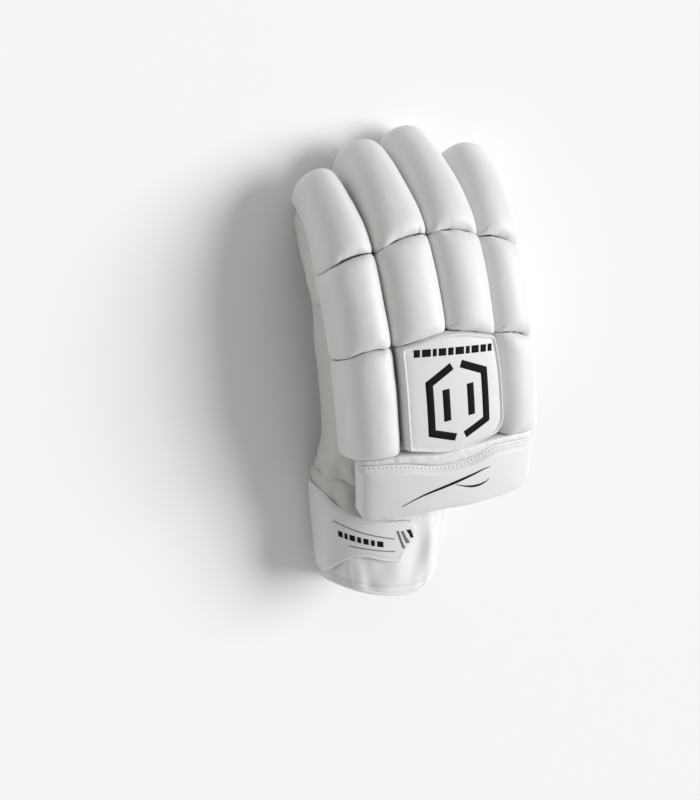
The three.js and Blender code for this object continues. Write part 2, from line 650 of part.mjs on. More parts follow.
function bandPoint(at, angle, out) {
  const last = BODY_RINGS.length - 1;
  const front = bodyPoint(last, angle, -out - BAND_STEP, -2 * GAP);
  const turn = radians(angle);
  const power = 2 / BAND_END.square;
  const side = signedPower(Math.cos(turn), power);
  const rise = signedPower(Math.sin(turn), power);
  const x = (BAND_HALF_WIDTH * BAND_END.halfWidth + out) * side;
  const z = (BAND_HALF_DEPTH + out) * rise + BAND_HALF_DEPTH + STRAP_THICKNESS - BAND_PRESS;
  const drawnIn = (side > 0 ? BAND_CUT.right : BAND_CUT.left) * Math.abs(side) ** BAND_CUT.power;
  const y = -WRIST_REACH - BAND_LENGTH - BAND_END.skew * x + drawnIn;
  const end = new THREE.Vector3(BAND_END.across * COLUMN_WIDTH + x, y, z);
  return front.lerp(end, at);
}

function wristband() {
  const edge = (at) => (at === 0 || at === 1 ? BAND_RIM : 0);
  const lift = STRAP_THICKNESS + 2 * GAP;
  const place = (i, j, inset) => (
    pressed(bandPoint(BAND_RINGS[j], 360 * i / BAND_SIDES, -inset), lift + inset));
  return wall({
    outer: (i, j) => place(i, j, edge(BAND_RINGS[j])),
    inner: (i, j) => place(i, j, BAND_WALL + BAND_STEP * (1 - BAND_RINGS[j])),
    round: BAND_SIDES,
    along: BAND_RINGS.length - 1,
    ring: true,
  });
}

// The closing strap goes from an arrow end on the back, round the little finger's side and under the
// palm to a wider arrow end. front, rear: shares of the strap width, from the band's front edge
const STRAP_ROWS = [
  { angle: 84, front: 0.5, rear: 0.58 },
  { angle: 88, front: 0.44, rear: 0.78 },
  { angle: 93, front: 0.44, rear: 1.03 },
  { angle: 105, front: 0.46, rear: 1.03 },
  { angle: 120, front: 0.46, rear: 1.0 },
  { angle: 135, front: 0.42, rear: 1.04 },
  { angle: 150, front: 0.36, rear: 1.18 },
  { angle: 165, front: 0.25, rear: 1.34 },
  { angle: 180, front: 0.22, rear: 1.42 },
  { angle: 195, front: 0.22, rear: 1.4 },
  { angle: 210, front: 0.22, rear: 1.34 },
  { angle: 225, front: 0.22, rear: 1.28 },
  { angle: 240, front: 0.22, rear: 1.24 },
  { angle: 255, front: 0.22, rear: 1.22 },
  { angle: 270, front: 0.22, rear: 1.22 },
  { angle: 285, front: 0.22, rear: 1.22 },
  { angle: 300, front: 0.22, rear: 1.22 },
  { angle: 315, front: 0.25, rear: 1.15 },
  { angle: 330, front: 0.55, rear: 0.75 },
];
function closingStrap() {
  const place = (i, j, out) => {
    const row = STRAP_ROWS[i];
    const at = mix(row.front, row.rear, j / 2) * STRAP_WIDTH / BAND_LENGTH;
    return bandPoint(at, row.angle, out);
  };
  return wall({
    outer: (i, j) => pressed(place(i, j, 2 * GAP + STRAP_THICKNESS)),
    inner: (i, j) => pressed(place(i, j, 2 * GAP), STRAP_THICKNESS),
    round: STRAP_ROWS.length - 1,
    along: 2,
  });
}

const glove = new THREE.Group();
function add(name, geometry, material) {
  const mesh = new THREE.Mesh(geometry, new THREE.MeshStandardMaterial(material));
  mesh.name = name;
  glove.add(mesh);
}

FINGERS.forEach((finger, index) => {
  add(`${finger.name}_tip_roll`, tipRoll(index), LEATHER_WHITE);
  add(`${finger.name}_mid_roll`, roll(columnCell(index, 'knuckle', 'tip')), LEATHER_WHITE);
  add(`${finger.name}_stall`, stall(index), PALM_WHITE);
});
add('little_back_roll', roll(columnCell(0, 'back', 'knuckle')), LEATHER_WHITE);
add('index_back_roll', roll(columnCell(3, 'back', 'knuckle')), LEATHER_WHITE);
add('back_badge', badge(), LEATHER_WHITE);
add('guard_welt', guardWelt(), LEATHER_WHITE);
add('wrist_guard', wristGuard(), LEATHER_WHITE);
BODY_PANELS.forEach((panel) => {
  const geometry = bodyPanel(panel);
  add(panel.name, panel.bored ? cut(geometry, thumbBore()) : geometry, panel.material);
});
add('thumb_stall', thumbStall(), PALM_WHITE);
add('thumb_base_pad', thumbPad(THUMB_PADS.base), LEATHER_WHITE);
add('thumb_tip_pad', thumbPad(THUMB_PADS.tip), LEATHER_WHITE);
add('wristband', wristband(), LEATHER_WHITE);
add('closing_strap', closingStrap(), LEATHER_WHITE);

// The origin stands under the middle of the whole glove, on the ground
const bounds = new THREE.Box3().setFromObject(glove);
glove.position.set(-(bounds.min.x + bounds.max.x) / 2, -(bounds.min.y + bounds.max.y) / 2, -bounds.min.z);

export default glove;
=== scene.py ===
# Looks of a left-hand cricket batting glove, built over its CAD model. Lengths are in millimetres until a
# mesh is made, and angles in degrees.
import math
import bmesh
import bpy
import numpy as np
from mathutils import Euler, Matrix, Vector


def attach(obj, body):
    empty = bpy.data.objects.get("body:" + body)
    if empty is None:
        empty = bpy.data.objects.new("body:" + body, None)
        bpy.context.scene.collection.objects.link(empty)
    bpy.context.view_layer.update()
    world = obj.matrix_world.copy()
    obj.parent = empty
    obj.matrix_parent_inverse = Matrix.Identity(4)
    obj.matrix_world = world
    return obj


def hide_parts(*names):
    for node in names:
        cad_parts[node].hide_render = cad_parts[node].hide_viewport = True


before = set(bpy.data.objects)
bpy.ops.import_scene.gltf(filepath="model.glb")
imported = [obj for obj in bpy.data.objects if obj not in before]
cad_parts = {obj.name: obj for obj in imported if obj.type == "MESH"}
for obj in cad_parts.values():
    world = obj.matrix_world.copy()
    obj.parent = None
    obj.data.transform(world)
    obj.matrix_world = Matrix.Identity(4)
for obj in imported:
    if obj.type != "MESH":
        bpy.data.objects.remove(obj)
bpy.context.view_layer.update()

scene = bpy.context.scene

# Sizes shared with the CAD model
COLUMN_WIDTH = 32.5
BACK_LENGTH = 56
MID_LENGTH = 56
FINGER_REACH = 130
WRIST_REACH = 85
KNUCKLE_HEIGHT = 64
DOME_RADIUS = 190
ROLL_HEIGHT = 14
GUARD_THICKNESS = 9
GUARD_LENGTH = 36
STALL_DEPTH = 32
STALL_TIP_DEPTH = 26.5
HAND_DEPTH = 47
PALM_HOLLOW = 5
LEATHER = 2
THUMB_RADIUS = 14
THUMB_LENGTH = 84
THUMB_PAD = 5
BAND_LENGTH = 58.5
BAND_HALF_WIDTH = 41
BAND_HALF_DEPTH = 24.5
BAND_WALL = 3
STRAP_WIDTH = 37
STRAP_THICKNESS = 2.2
SHIFT = np.array([-8.573, 13.473, 0.0])

# Slope of the back and the curled fingers. Columns: share of the finger reach, slope
CURL = np.array([
    (-1.08, -22), (-0.69, -16), (-0.46, -9), (-0.19, -3), (0, 2), (0.23, 8), (0.44, 17), (0.58, 31),
    (0.77, 49), (0.96, 64), (1.08, 70)])
# Lines between the finger columns. Columns: across in column widths, then the shares of the back length and
# the mid length at which the wrist, knuckle and fingertip seams cross it
LINES = np.array([
    (-1.96, -0.98, 0.07, 0.98), (-1.01, -0.97, 0.12, 1.05), (0.01, -1.03, 0.17, 1.11),
    (1.0, -1.07, 0.01, 0.99), (2.02, -1.2, -0.2, 0.74)])
FINGERS = [
    {"name": "little", "left": -1.86, "right": -1.05, "end": 0.9, "depth": 1.1},
    {"name": "ring", "left": -0.99, "right": -0.01, "end": 0.985, "depth": 1.08},
    {"name": "middle", "left": 0.01, "right": 0.97, "end": 1.025, "depth": 1.02},
    {"name": "index", "left": 1.0, "right": 2.1, "end": 0.9, "depth": 1.08},
]
# Rings of the body. Columns: place along, left, right, top, bottom, hollow, skew, square
BODY_RINGS = np.array([
    (0.68, -1.94, 2.0, 0, -0.7, 0.0, 0, 6), (0.3, -1.94, 2.0, 0, -0.88, 0.6, 0, 6),
    (-0.12, -1.93, 1.97, 0, -0.97, 1.0, 0, 6), (-0.4, -1.93, 1.93, 0, -0.98, 0.9, 0.02, 5.5),
    (-0.62, -1.95, 1.76, 0, -0.99, 0.5, 0.08, 4.5), (-0.8, -1.98, 1.2, -0.05, -1.02, 0.2, 0.16, 3.2),
    (-1.0, -2.02, 0.52, -0.15, -1.08, 0.0, 0.24, 2.5)])
PALM_SQUARE = 2.25
# The thumb's middle line. Columns: across, along, up, round
THUMB_PATH = np.array([
    (1.5, -0.66, 2.1, 1.22), (1.95, -0.46, 1.65, 1.2), (2.16, -0.2, 1.2, 1.1), (2.2, 0.06, 0.95, 1.0),
    (2.2, 0.27, 0.88, 0.96), (2.15, 0.38, 0.82, 0.86)])


# Small helpers
def mix(a, b, share):
    return a + (b - a) * share


def clamp(value, low=0.0, high=1.0):
    return np.minimum(np.maximum(value, low), high)


def smooth(share):
    share = clamp(share)
    return share * share * (3 - 2 * share)


def signed_power(value, power):
    return np.sign(value) * np.abs(value) ** power


def stacked(*columns):
    return np.stack(np.broadcast_arrays(*columns), -1)


def unit(vectors):
    return vectors / np.maximum(np.linalg.norm(vectors, axis=-1, keepdims=True), 1e-9)


def walked(path):
    # How far along the path each of its points lies
    return np.concatenate([[0], np.cumsum(np.linalg.norm(np.diff(path, axis=0), axis=1))])


def read_path(places, keys, path):
    return stacked(*[np.interp(places, keys, column) for column in path.T])


def curve(start, end, start_slope, end_slope, t):
    return (start * (2 * t ** 3 - 3 * t ** 2 + 1) + end * (3 * t ** 2 - 2 * t ** 3)
            + start_slope * (t ** 3 - 2 * t ** 2 + t) + end_slope * (t ** 3 - t ** 2))


def rounded_sides(share, power):
    # Full in the middle, and down to nothing at both ends of the share
    return (1 - np.abs(2 * share - 1) ** power) ** 0.5


def read_smooth(keys, values, place):
    # A smooth line through the table's rows, read at each place
    slopes = np.gradient(values, keys)
    row = np.clip(np.searchsorted(keys, place) - 1, 0, len(keys) - 2)
    step = keys[row + 1] - keys[row]
    t = (place - keys[row]) / step
    return curve(values[row], values[row + 1], step * slopes[row], step * slopes[row + 1], t)


def ripple(points, size, seed, count=16):
    # Smooth uneven waves of about one size, as a number near -1 to 1 at each point
    rng = np.random.default_rng(seed)
    waves = unit(rng.normal(size=(count, 3)))
    waves *= 2 * np.pi / size * rng.uniform(0.6, 1.4, (count, 1))
    phases = rng.uniform(0, 2 * np.pi, count)
    return np.sin(points @ waves.T + phases).sum(-1) / math.sqrt(count)


def grid_normals(points, wrap=False):
    if wrap:
        padded = np.concatenate([points[:, -1:], points, points[:, :1]], 1)
        across = np.gradient(padded, axis=1)[:, 1:-1]
    else:
        across = np.gradient(points, axis=1)
    along = np.gradient(points, axis=0)
    return unit(np.cross(across, along))


def pushed(points, amount, wrap=False, sign=1):
    # Moves a grid outwards by an amount; sign turns its normals outwards
    return points + grid_normals(points, wrap) * (sign * np.asarray(amount))[..., None]


# The bent back of the hand
def spine():
    step = 0.5
    reach = math.ceil(FINGER_REACH * 1.1)
    places = np.arange(-reach, reach + step, step)
    slopes = np.radians(np.interp((places[:-1] + step / 2) / FINGER_REACH, CURL[:, 0], CURL[:, 1]))
    y = np.concatenate([[0], np.cumsum(np.cos(slopes)) * step])
    z = np.concatenate([[0], -np.cumsum(np.sin(slopes)) * step])
    return places, y - np.interp(0, places, y), z - np.interp(0, places, z) + KNUCKLE_HEIGHT


SPINE = spine()


def bent(across, along, out):
    across, along, out = np.broadcast_arrays(np.asarray(across, float), along, out)
    y = np.interp(along, SPINE[0], SPINE[1])
    z = np.interp(along, SPINE[0], SPINE[2])
    slope = np.radians(np.interp(along / FINGER_REACH, CURL[:, 0], CURL[:, 1]))
    turn = across / DOME_RADIUS
    radius = DOME_RADIUS + np.maximum(out, 0)
    rise = radius * np.cos(turn) - DOME_RADIUS + np.minimum(out, 0)
    return np.stack([radius * np.sin(turn), y + rise * np.sin(slope), z + rise * np.cos(slope)], -1)


def pressed(points, lift=0.0):
    # What rests on the ground is flat there
    points = points.copy()
    points[..., 2] = np.maximum(points[..., 2], lift)
    return points


def shoulder(across):
    share = clamp(np.abs(across) / (2.12 * COLUMN_WIDTH))
    return HAND_DEPTH / 2 * ((1 - share ** 6) ** (1 / 6) - 1)


# Meshes
def grid_faces(rows, columns, wrap=False, start=0):
    i = np.arange(rows - 1)[:, None]
    j = np.arange(columns if wrap else columns - 1)[None, :]
    after = (j + 1) % columns
    this, following = i * columns, (i + 1) * columns
    faces = np.stack([this + j, this + after, following + after, following + j], -1)
    return faces.reshape(-1, 4) + start


def shell_mesh(outer, inner, wrap=False):
    # A closed skin of two grids and the strips between their edges. Returns points, faces and which faces
    # lie inside
    rows, columns = outer.shape[:2]
    count = rows * columns
    ids = np.arange(count).reshape(rows, columns)
    parts = [grid_faces(rows, columns, wrap), grid_faces(rows, columns, wrap, count)[:, ::-1]]
    edges = [(ids[0], True), (ids[-1], False)]
    if not wrap:
        edges += [(ids[:, 0], False), (ids[:, -1], True)]
    for line, flip in edges:
        last = np.roll(line, -1) if wrap else line[1:]
        first = line if wrap else line[:-1]
        strip = np.stack([first, last, last + count, first + count], -1)
        parts.append(strip[:, ::-1] if flip else strip)
    inside = np.zeros(sum(len(part) for part in parts), int)
    inside[len(parts[0]):len(parts[0]) + len(parts[1])] = 1
    points = np.concatenate([outer.reshape(-1, 3), inner.reshape(-1, 3)])
    return points, np.concatenate(parts), inside


def make(name, points, faces, materials, inside=None, weld=True):
    mesh = bpy.data.meshes.new(name)
    world = (np.asarray(points) + SHIFT) / 1000
    mesh.from_pydata(world.tolist(), [], np.asarray(faces).tolist())
    for material in materials:
        mesh.materials.append(material)
    if inside is not None and len(materials) > 1:
        mesh.polygons.foreach_set("material_index", inside.astype(np.int32))
    work = bmesh.new()
    work.from_mesh(mesh)
    if weld:
        bmesh.ops.remove_doubles(work, verts=work.verts, dist=2e-6)
    if work.calc_volume(signed=True) < 0:
        bmesh.ops.reverse_faces(work, faces=work.faces)
    for face in work.faces:
        face.smooth = True
    work.to_mesh(mesh)
    work.free()
    piece = bpy.data.objects.new(name, mesh)
    scene.collection.objects.link(piece)
    return piece


def place(piece, slot, node=None, fill=None):
    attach(piece, "root")
    if node:
        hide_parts(node)


def add_shell(name, outer, inner, materials, slot, fill=None, wrap=False):
    points, faces, inside = shell_mesh(outer, inner, wrap)
    place(make(name, points, faces, materials, inside), slot, name, fill)


def add_grid(name, grid, material, slot, node=None, fill=None):
    faces = grid_faces(*grid.shape[:2], True)
    place(make(name, grid.reshape(-1, 3), faces, [material]), slot, node, fill)


# Materials
def surface(name, colour, roughness, grain, bump, mottle=0.03, sheen=0.0, shine=0.4):
    material = bpy.data.materials.new(name)
    material.use_nodes = True
    nodes, links = material.node_tree.nodes, material.node_tree.links
    shader = nodes["Principled BSDF"]
    for key, value in (("Roughness", roughness), ("Sheen Weight", sheen), ("Specular IOR Level", shine)):
        shader.inputs[key].default_value = value
    coordinates = nodes.new("ShaderNodeTexCoord")
    soft = nodes.new("ShaderNodeTexNoise")
    soft.inputs["Scale"].default_value = 55
    soft.inputs["Detail"].default_value = 3
    ramp = nodes.new("ShaderNodeValToRGB")
    for element, at, share in zip(ramp.color_ramp.elements, (0.3, 0.7), (1 - mottle, 1)):
        element.position = at
        element.color = (*[channel * share for channel in colour], 1)
    links.new(coordinates.outputs["Object"], soft.inputs["Vector"])
    links.new(soft.outputs["Fac"], ramp.inputs["Fac"])
    links.new(ramp.outputs["Color"], shader.inputs["Base Color"])
    fine = nodes.new("ShaderNodeTexNoise")
    fine.inputs["Scale"].default_value = 1000 / grain
    links.new(coordinates.outputs["Object"], fine.inputs["Vector"])
    relief = nodes.new("ShaderNodeBump")
    relief.inputs["Strength"].default_value = bump
    relief.inputs["Distance"].default_value = grain / 4000
    links.new(fine.outputs["Fac"], relief.inputs["Height"])
    links.new(relief.outputs["Normal"], shader.inputs["Normal"])
    return material


WHITE = surface("white_leather", (0.80, 0.80, 0.79), 0.46, 1.1, 0.22)
# A darker, warm grey copy of the white leather: painted shade for the glove's back and sides, which face away
# from the key light
SHADED_SIDE_LEATHER = surface("side_leather", (0.66, 0.655, 0.635), 0.5, 1.2, 0.3, mottle=0.05)
PALM = surface("palm_leather", (0.69, 0.685, 0.665), 0.62, 1.4, 0.4, mottle=0.06, sheen=0.1)
MESH = surface("gusset_mesh", (0.70, 0.70, 0.68), 0.8, 1.0, 0.5, mottle=0.05, sheen=0.2)
LINING = surface("towel_lining", (0.62, 0.61, 0.585), 0.9, 1.6, 0.8, mottle=0.08, sheen=0.4)
THREAD = surface("thread", (0.93, 0.93, 0.92), 0.6, 0.4, 0.3)
PIPING = surface("piping", (0.86, 0.865, 0.87), 0.4, 0.8, 0.12)
# Black print, also used as painted shade on the floors of the palm's vents
BLACK_PRINT_AND_VENT_SHADE = surface("black_print_and_vent_shade", (0.006, 0.006, 0.007), 0.75, 0.5, 0.05, shine=0.12)
GREY_INK = surface("grey_print", (0.2, 0.2, 0.195), 0.7, 0.5, 0.05, shine=0.2)


# Padded rolls
ROLL_FULL = 2.3
SEAM_GAP = 0.2
SEAM_LEVEL = 2.6                # the seams between columns lie this high
FREE_LEVEL = -5.0               # and this high between the free fingertips
END_DROP = 6.5                  # the seams across a column lie this far below its crown
SEAM_BOW = 2.2                  # and bow this far towards the fingertips
CORNER_ROUND = 1.1
GATHER_LENGTH = 3
ROLL_FILL = 0.85
OUTER_EDGE = -2.0               # the outer columns' outer edge lies at this level
OUTER_TIP_EDGE = 1.0            # and at this one at the fingertips
SPILL = 0.9                     # and this far over the side of its cell
SKIRT_END = 0.4                 # the skirts in the seams end at this level
FREE_SKIRT_END = -11.0          # and at this one between the fingertips
OUTER_SKIRT_END = -13.0         # and at this one on the outer sides
DOME = 15                       # the fingertips round off over this length
TIP_SQUARE = 3.2
TIP_LEVEL = -14.0               # and close at this level
TIP_FURTHER = 2.2               # how far they reach past the finger's end
TIP_LEANS = [(1.0, 2.2), (2.4, 2.6), (1.6, 2.8), (2.0, 1.6)]    # how far their two edges lean across
HALF_STEPS = 26


def half_profile(outer):
    # From the crown to the seam, then down the skirt: share of the half width, level, skirt share, turn
    turn = np.linspace(0, np.pi / 2, HALF_STEPS)
    skirt = np.linspace(0, 1, 16 if outer else 6)[1:]
    share = np.concatenate([np.sin(turn) ** (2 / ROLL_FULL), np.ones(len(skirt))])
    level = np.concatenate([np.cos(turn), np.zeros(len(skirt))])
    down = np.concatenate([np.zeros(len(turn)), skirt])
    angle = np.concatenate([turn, np.full(len(skirt), np.pi / 2)])
    return np.stack([share, level, down, angle])


def pinch(across, along, spot, toward, size, depth):
    # A short crease that runs from a seam corner into the roll, with a soft ridge beside it
    delta = stacked(across - spot[0], along - spot[1])
    heading = unit(np.array(toward))
    ahead = delta @ heading
    aside = delta @ np.array([-heading[1], heading[0]])
    reach = smooth((ahead + size * 0.3) / (size * 0.3)) * (1 - smooth((ahead - size * 0.1) / size))
    crease = np.exp(-(aside / (size * 0.13)) ** 2)
    ridge = np.exp(-((aside + size * 0.32) / (size * 0.22)) ** 2)
    return reach * depth * (0.55 * ridge - crease)


def roll(name, cell, outer_left, outer_right, seed, tip=False, folds=(), bows=(0, 0),
         skirts=(OUTER_SKIRT_END, OUTER_SKIRT_END)):
    # A padded form over a cell with the corners (left across, left along, right across, right along) at its
    # lower and its upper end. A tip goes on into a dome
    left_half, right_half = half_profile(outer_left), half_profile(outer_right)
    profile = np.concatenate([left_half[:, :0:-1], right_half], 1)
    side = np.concatenate([-np.ones(left_half.shape[1] - 1), np.ones(right_half.shape[1])])
    share, level, down, angle = profile[:, None, :]
    outer = np.where(side < 0, outer_left, outer_right)[None, :]
    if tip:
        lower = -np.cos(np.linspace(0, np.pi / 2, 40))
        b = np.concatenate([lower, np.linspace(0, 1, 30)[1:], np.ones(36)])[:, None]
        cap = np.concatenate([np.zeros(69), np.linspace(0, np.pi / 2, 37)[1:]])[:, None]
        ends = np.minimum(b, 0)
    else:
        b = np.sin(np.linspace(-np.pi / 2, np.pi / 2, 84))[:, None]
        cap = np.zeros_like(b)
        ends = b
    along_share = (b + 1) / 2
    left, left_along, right, right_along = [mix(low, high, along_share) for low, high in zip(*cell)]
    middle = (left + right) / 2
    # The corners of a roll are a little rounded
    half = (right - left) / 2 - SEAM_GAP - np.where(outer > 0, 0, CORNER_ROUND) * np.abs(ends) ** 18
    signed = share * side
    # The seams between columns reach deeper at the free fingertips
    free = smooth(along_share) if tip else np.zeros_like(along_share)
    edge = np.where(outer > 0, mix(OUTER_EDGE, OUTER_TIP_EDGE, free), mix(SEAM_LEVEL, FREE_LEVEL, free))
    seam_skirt = mix(SKIRT_END, FREE_SKIRT_END, free)
    bottom = np.where(outer > 0, mix(skirts[0], skirts[1], along_share), seam_skirt)
    # The outer skirts curve in under the roll, most of all at the index fingertip
    tuck = (1 + 0.8 * np.sqrt(free) * (side > 0)) * mix(4.4 * down, 10.4 * down ** 2, free)
    across = middle + half * signed + side * SPILL * outer * share * (1 - tuck)
    drop = END_DROP * (1 - np.sqrt(1 - np.abs(ends) ** 9))
    fade = mix(1.0, 0.3, smooth((share - 0.3) / 0.7)) * (1 - 0.9 * down)
    out = mix(edge + (ROLL_HEIGHT - edge) * level, bottom, down)
    out = out - drop * fade * np.maximum(np.cos(angle), 0.25)
    across = across - outer * side * drop * fade * np.sin(angle)
    along = mix(left_along, right_along, clamp((signed + 1) / 2)) - b * SEAM_GAP
    along = along + mix(bows[0], bows[1], along_share) * (1 - signed ** 2)
    if tip:
        round_off = np.cos(cap) ** (2 / TIP_SQUARE)
        centre = mix(FREE_LEVEL, TIP_LEVEL, smooth(cap / (np.pi / 2)) ** 1.2)
        across = middle + (across - middle) * round_off
        out = np.where(cap > 0, centre + (out - FREE_LEVEL) * round_off, out)
        along = along + DOME * np.sin(cap) ** (2 / TIP_SQUARE)
    spread = stacked(across, along, 0)
    amount = 0.16 * ripple(spread, 30, seed) + 0.035 * ripple(spread, 9, seed + 1)
    # Small gathers beside the seams across a column
    beside = np.exp((np.abs(ends) - 1) * MID_LENGTH / 2 / GATHER_LENGTH)
    amount = amount + 0.16 * beside * ripple(stacked(across, b * 2, 0), 5, seed + 2)
    if tip:
        uneven = 2 * ripple(stacked(*[signed[0]] * 3), 1.5, seed)
        pleats = np.cos(9 * angle * side + uneven)
        amount = amount + 0.4 * pleats * smooth((cap - 0.9) / 0.6) * np.cos(cap) ** 0.5
    for fold in folds:
        amount = amount + pinch(across, along, *fold)
    amount = amount * smooth(1 - down) * np.where(outer > 0, 1.0, smooth(level / 0.35))
    surface_points = pushed(bent(across, along, out + shoulder(across)), amount)
    core_across = middle + (across - middle) * 0.93
    core_out = 1 + (out - 1) * 0.8
    core_along = along - b * 1.4 - np.sin(cap) * 2.0
    core = bent(core_across, core_along, core_out + shoulder(across))
    add_shell(name, pressed(surface_points), pressed(core, 1.0), [WHITE], "roll_leather", ROLL_FILL)


def line_spot(line, key):
    column, length = {"back": (1, BACK_LENGTH), "knuckle": (2, MID_LENGTH), "tip": (3, MID_LENGTH)}[key]
    return LINES[line, 0] * COLUMN_WIDTH, LINES[line, column] * length


def column_cell(index, lower, upper):
    return [(*line_spot(index, key), *line_spot(index + 1, key)) for key in (lower, upper)]


def corner_fold(corners):
    # A crease that runs up into a roll from its lower left corner
    return (corners[0] + 2, corners[1] + 1.6), (0.9, 1), 4, 0.7


def finger_rolls(index, finger):
    name = finger["name"]
    outer = index == 0, index == 3
    mid_cell = column_cell(index, "knuckle", "tip")
    end = finger["end"] * FINGER_REACH + TIP_FURTHER - DOME
    left = finger["left"] * COLUMN_WIDTH + TIP_LEANS[index][0]
    right = finger["right"] * COLUMN_WIDTH + TIP_LEANS[index][1]
    tip_cell = [mid_cell[1], (left, end, right, end)]
    mid_folds, tip_folds = [], []
    if index >= 2:
        mid_folds, tip_folds = [corner_fold(mid_cell[0])], [corner_fold(tip_cell[0])]
    if index == 1:
        _, _, across, along = tip_cell[0]
        mid_folds = [((across - 2.5, along - 2.5), (-0.7, -1), 5, 0.7)]
        tip_folds = [((across - 7, along + 1.5), (-0.1, 1), 4, 0.8)]
    mid_bows = (SEAM_BOW if any(outer) else 0, SEAM_BOW)
    roll(f"{name}_mid_roll", mid_cell, *outer, 10 + index, False, mid_folds, mid_bows)
    skirts = (OUTER_SKIRT_END, -8.0 if index == 3 else -12.0)
    roll(f"{name}_tip_roll", tip_cell, *outer, 20 + index, True, tip_folds, (SEAM_BOW, 0), skirts)


def rolls():
    for index, finger in enumerate(FINGERS):
        finger_rolls(index, finger)
    bows = (0, SEAM_BOW)
    roll("little_back_roll", column_cell(0, "back", "knuckle"), True, False, 31, bows=bows)
    # The body is narrower towards the wrist there, so the skirt is short
    skirts = (-2.8, OUTER_SKIRT_END)
    roll("index_back_roll", column_cell(3, "back", "knuckle"), False, True, 32, bows=bows, skirts=skirts)


rolls()


# Finger stalls
STALL_START = BODY_RINGS[0, 0] * MID_LENGTH + 0.3
STALL_OVERLAP = 1.5             # the stalls reach back this far from there, into the body
STALL_CAP = 0.86                # share of their length at which they start to round off


def stall(index, finger):
    name = finger["name"]
    end = finger["end"] * FINGER_REACH
    bounds = LINES[index:index + 2, 0] * COLUMN_WIDTH
    angle = np.linspace(0, 2 * np.pi, 64, endpoint=False)[None, :]
    cap = np.linspace(0, np.pi / 2, 22)[1:]
    rounding = STALL_CAP + (1 - STALL_CAP) * np.sin(cap)
    place_share = np.concatenate([np.linspace(0, STALL_CAP, 34), rounding])[:, None]
    shrink = np.concatenate([np.ones(34), np.maximum(np.cos(cap), 0) ** (2 / 3)])[:, None]

    def face(inset):
        last = end - 2 - inset * 1.2
        along = mix(STALL_START - STALL_OVERLAP, last, place_share)
        share = (along - STALL_START) / (end - STALL_START)
        tucked = inset + 0.6 * (1 - smooth((along - STALL_START + STALL_OVERLAP) / 3))
        # The little finger's stall is narrower under its tip roll
        narrow = 3.2 * smooth((share - 0.5) / 0.35) * (index == 0)
        left = mix(bounds[0], finger["left"] * COLUMN_WIDTH, share) + 0.15 + tucked + narrow
        right = mix(bounds[1], finger["right"] * COLUMN_WIDTH, share) - 0.15 - tucked
        depth = mix(STALL_DEPTH, STALL_TIP_DEPTH * finger["depth"], smooth(share * 1.6))
        top = -tucked - abs(index - 1.5) * 0.4
        bottom = -depth + tucked
        power = 2 / np.where(np.sin(angle) > 0, 4.5, PALM_SQUARE)
        across = (left + right) / 2 + shrink * (right - left) / 2 * signed_power(np.cos(angle), power)
        rise = signed_power(np.sin(angle), power)
        out = (top + bottom) / 2 + shrink * (top - bottom) / 2 * rise
        # Beside the body the stall takes on the body's own round corner
        left, right, _, low = BODY_RINGS[0, 1:5] * (COLUMN_WIDTH, COLUMN_WIDTH, 1, HAND_DEPTH)
        share = clamp(np.abs(across - (left + right) / 2) / ((right - left) / 2))
        lowest = low / 2 * (1 + (1 - share ** PALM_SQUARE) ** (1 / PALM_SQUARE)) + tucked
        near = 1 - smooth((along - STALL_START) / 30)
        out = np.where(rise < 0, mix(out, np.maximum(out, lowest), near), out)
        return bent(across, along, out + shoulder(across) * np.maximum(0, rise)), along, rise

    outer, along, rise = face(0)
    below = smooth(-rise)
    # Knuckle creases on the palm side, where the finger bends
    spots = (mix(STALL_START, end, 0.24), mix(STALL_START, end, 0.55))
    crease = sum(np.exp(-((along - spot) / 1.6) ** 2) for spot in spots)
    amount = 0.3 * ripple(outer, 14, 50 + index) - 0.9 * crease * below
    amount = amount * smooth((1.02 - place_share) / 0.1)
    outer = pressed(pushed(outer, amount, wrap=True, sign=-1))
    inner = pressed(face(LEATHER)[0], LEATHER)
    add_shell(f"{name}_stall", outer, inner, [PALM, LINING], "palm_leather", wrap=True)


for index, finger in enumerate(FINGERS):
    stall(index, finger)


# The glove's body. Each panel runs between two angles round it
BACK_ANGLES = (-26, 203)
GUSSET_ANGLES = (203, 240)
PALM_ANGLES = (240, 334)
PANEL_GAP = 0.25                # each panel stops this short of both
GUSSET_HOLE = 0.52              # a hole's radius, in halves of its cell


def body_surface(ring, angle, inset, lengthen=0.0):
    ring, angle, inset = np.broadcast_arrays(np.asarray(ring, float), angle, inset)
    rows = np.arange(len(BODY_RINGS), dtype=float)
    place_along = BODY_RINGS[:, 0] * np.where(BODY_RINGS[:, 0] > 0, MID_LENGTH, WRIST_REACH)
    read = [read_smooth(rows, column, ring) for column in (place_along, *BODY_RINGS[:, 1:].T)]
    along, left, right, top, bottom, hollow, skew, square = read
    left = left * COLUMN_WIDTH + inset
    right = right * COLUMN_WIDTH - inset
    top = top * HAND_DEPTH - inset
    bottom = bottom * HAND_DEPTH + inset
    turn = np.radians(angle)
    power = 2 / np.where(np.sin(turn) > 0, square, np.minimum(square, PALM_SQUARE))
    side = signed_power(np.cos(turn), power)
    rise = signed_power(np.sin(turn), power)
    across = (left + right) / 2 + (right - left) / 2 * side
    drawn_up = np.where(rise < 0, hollow * PALM_HOLLOW * (1 - side ** 2) * np.abs(rise), 0)
    out = (top + bottom) / 2 + (top - bottom) / 2 * rise + drawn_up
    along = along - skew * (across - (left + right) / 2) + lengthen
    return bent(across, along, out)


def even_angles(start, end, count):
    # Angles spread evenly along the middle ring, so that its corners are smooth
    fine = np.linspace(start, end, 2000)
    points = body_surface(2.5, fine, 0)
    length = walked(points)
    return np.interp(np.linspace(0, length[-1], count), length, fine)


def sleeve_overlap(ring):
    # The sleeve's end runs on a little, into the wristband
    return -1.8 * smooth(ring - 5)


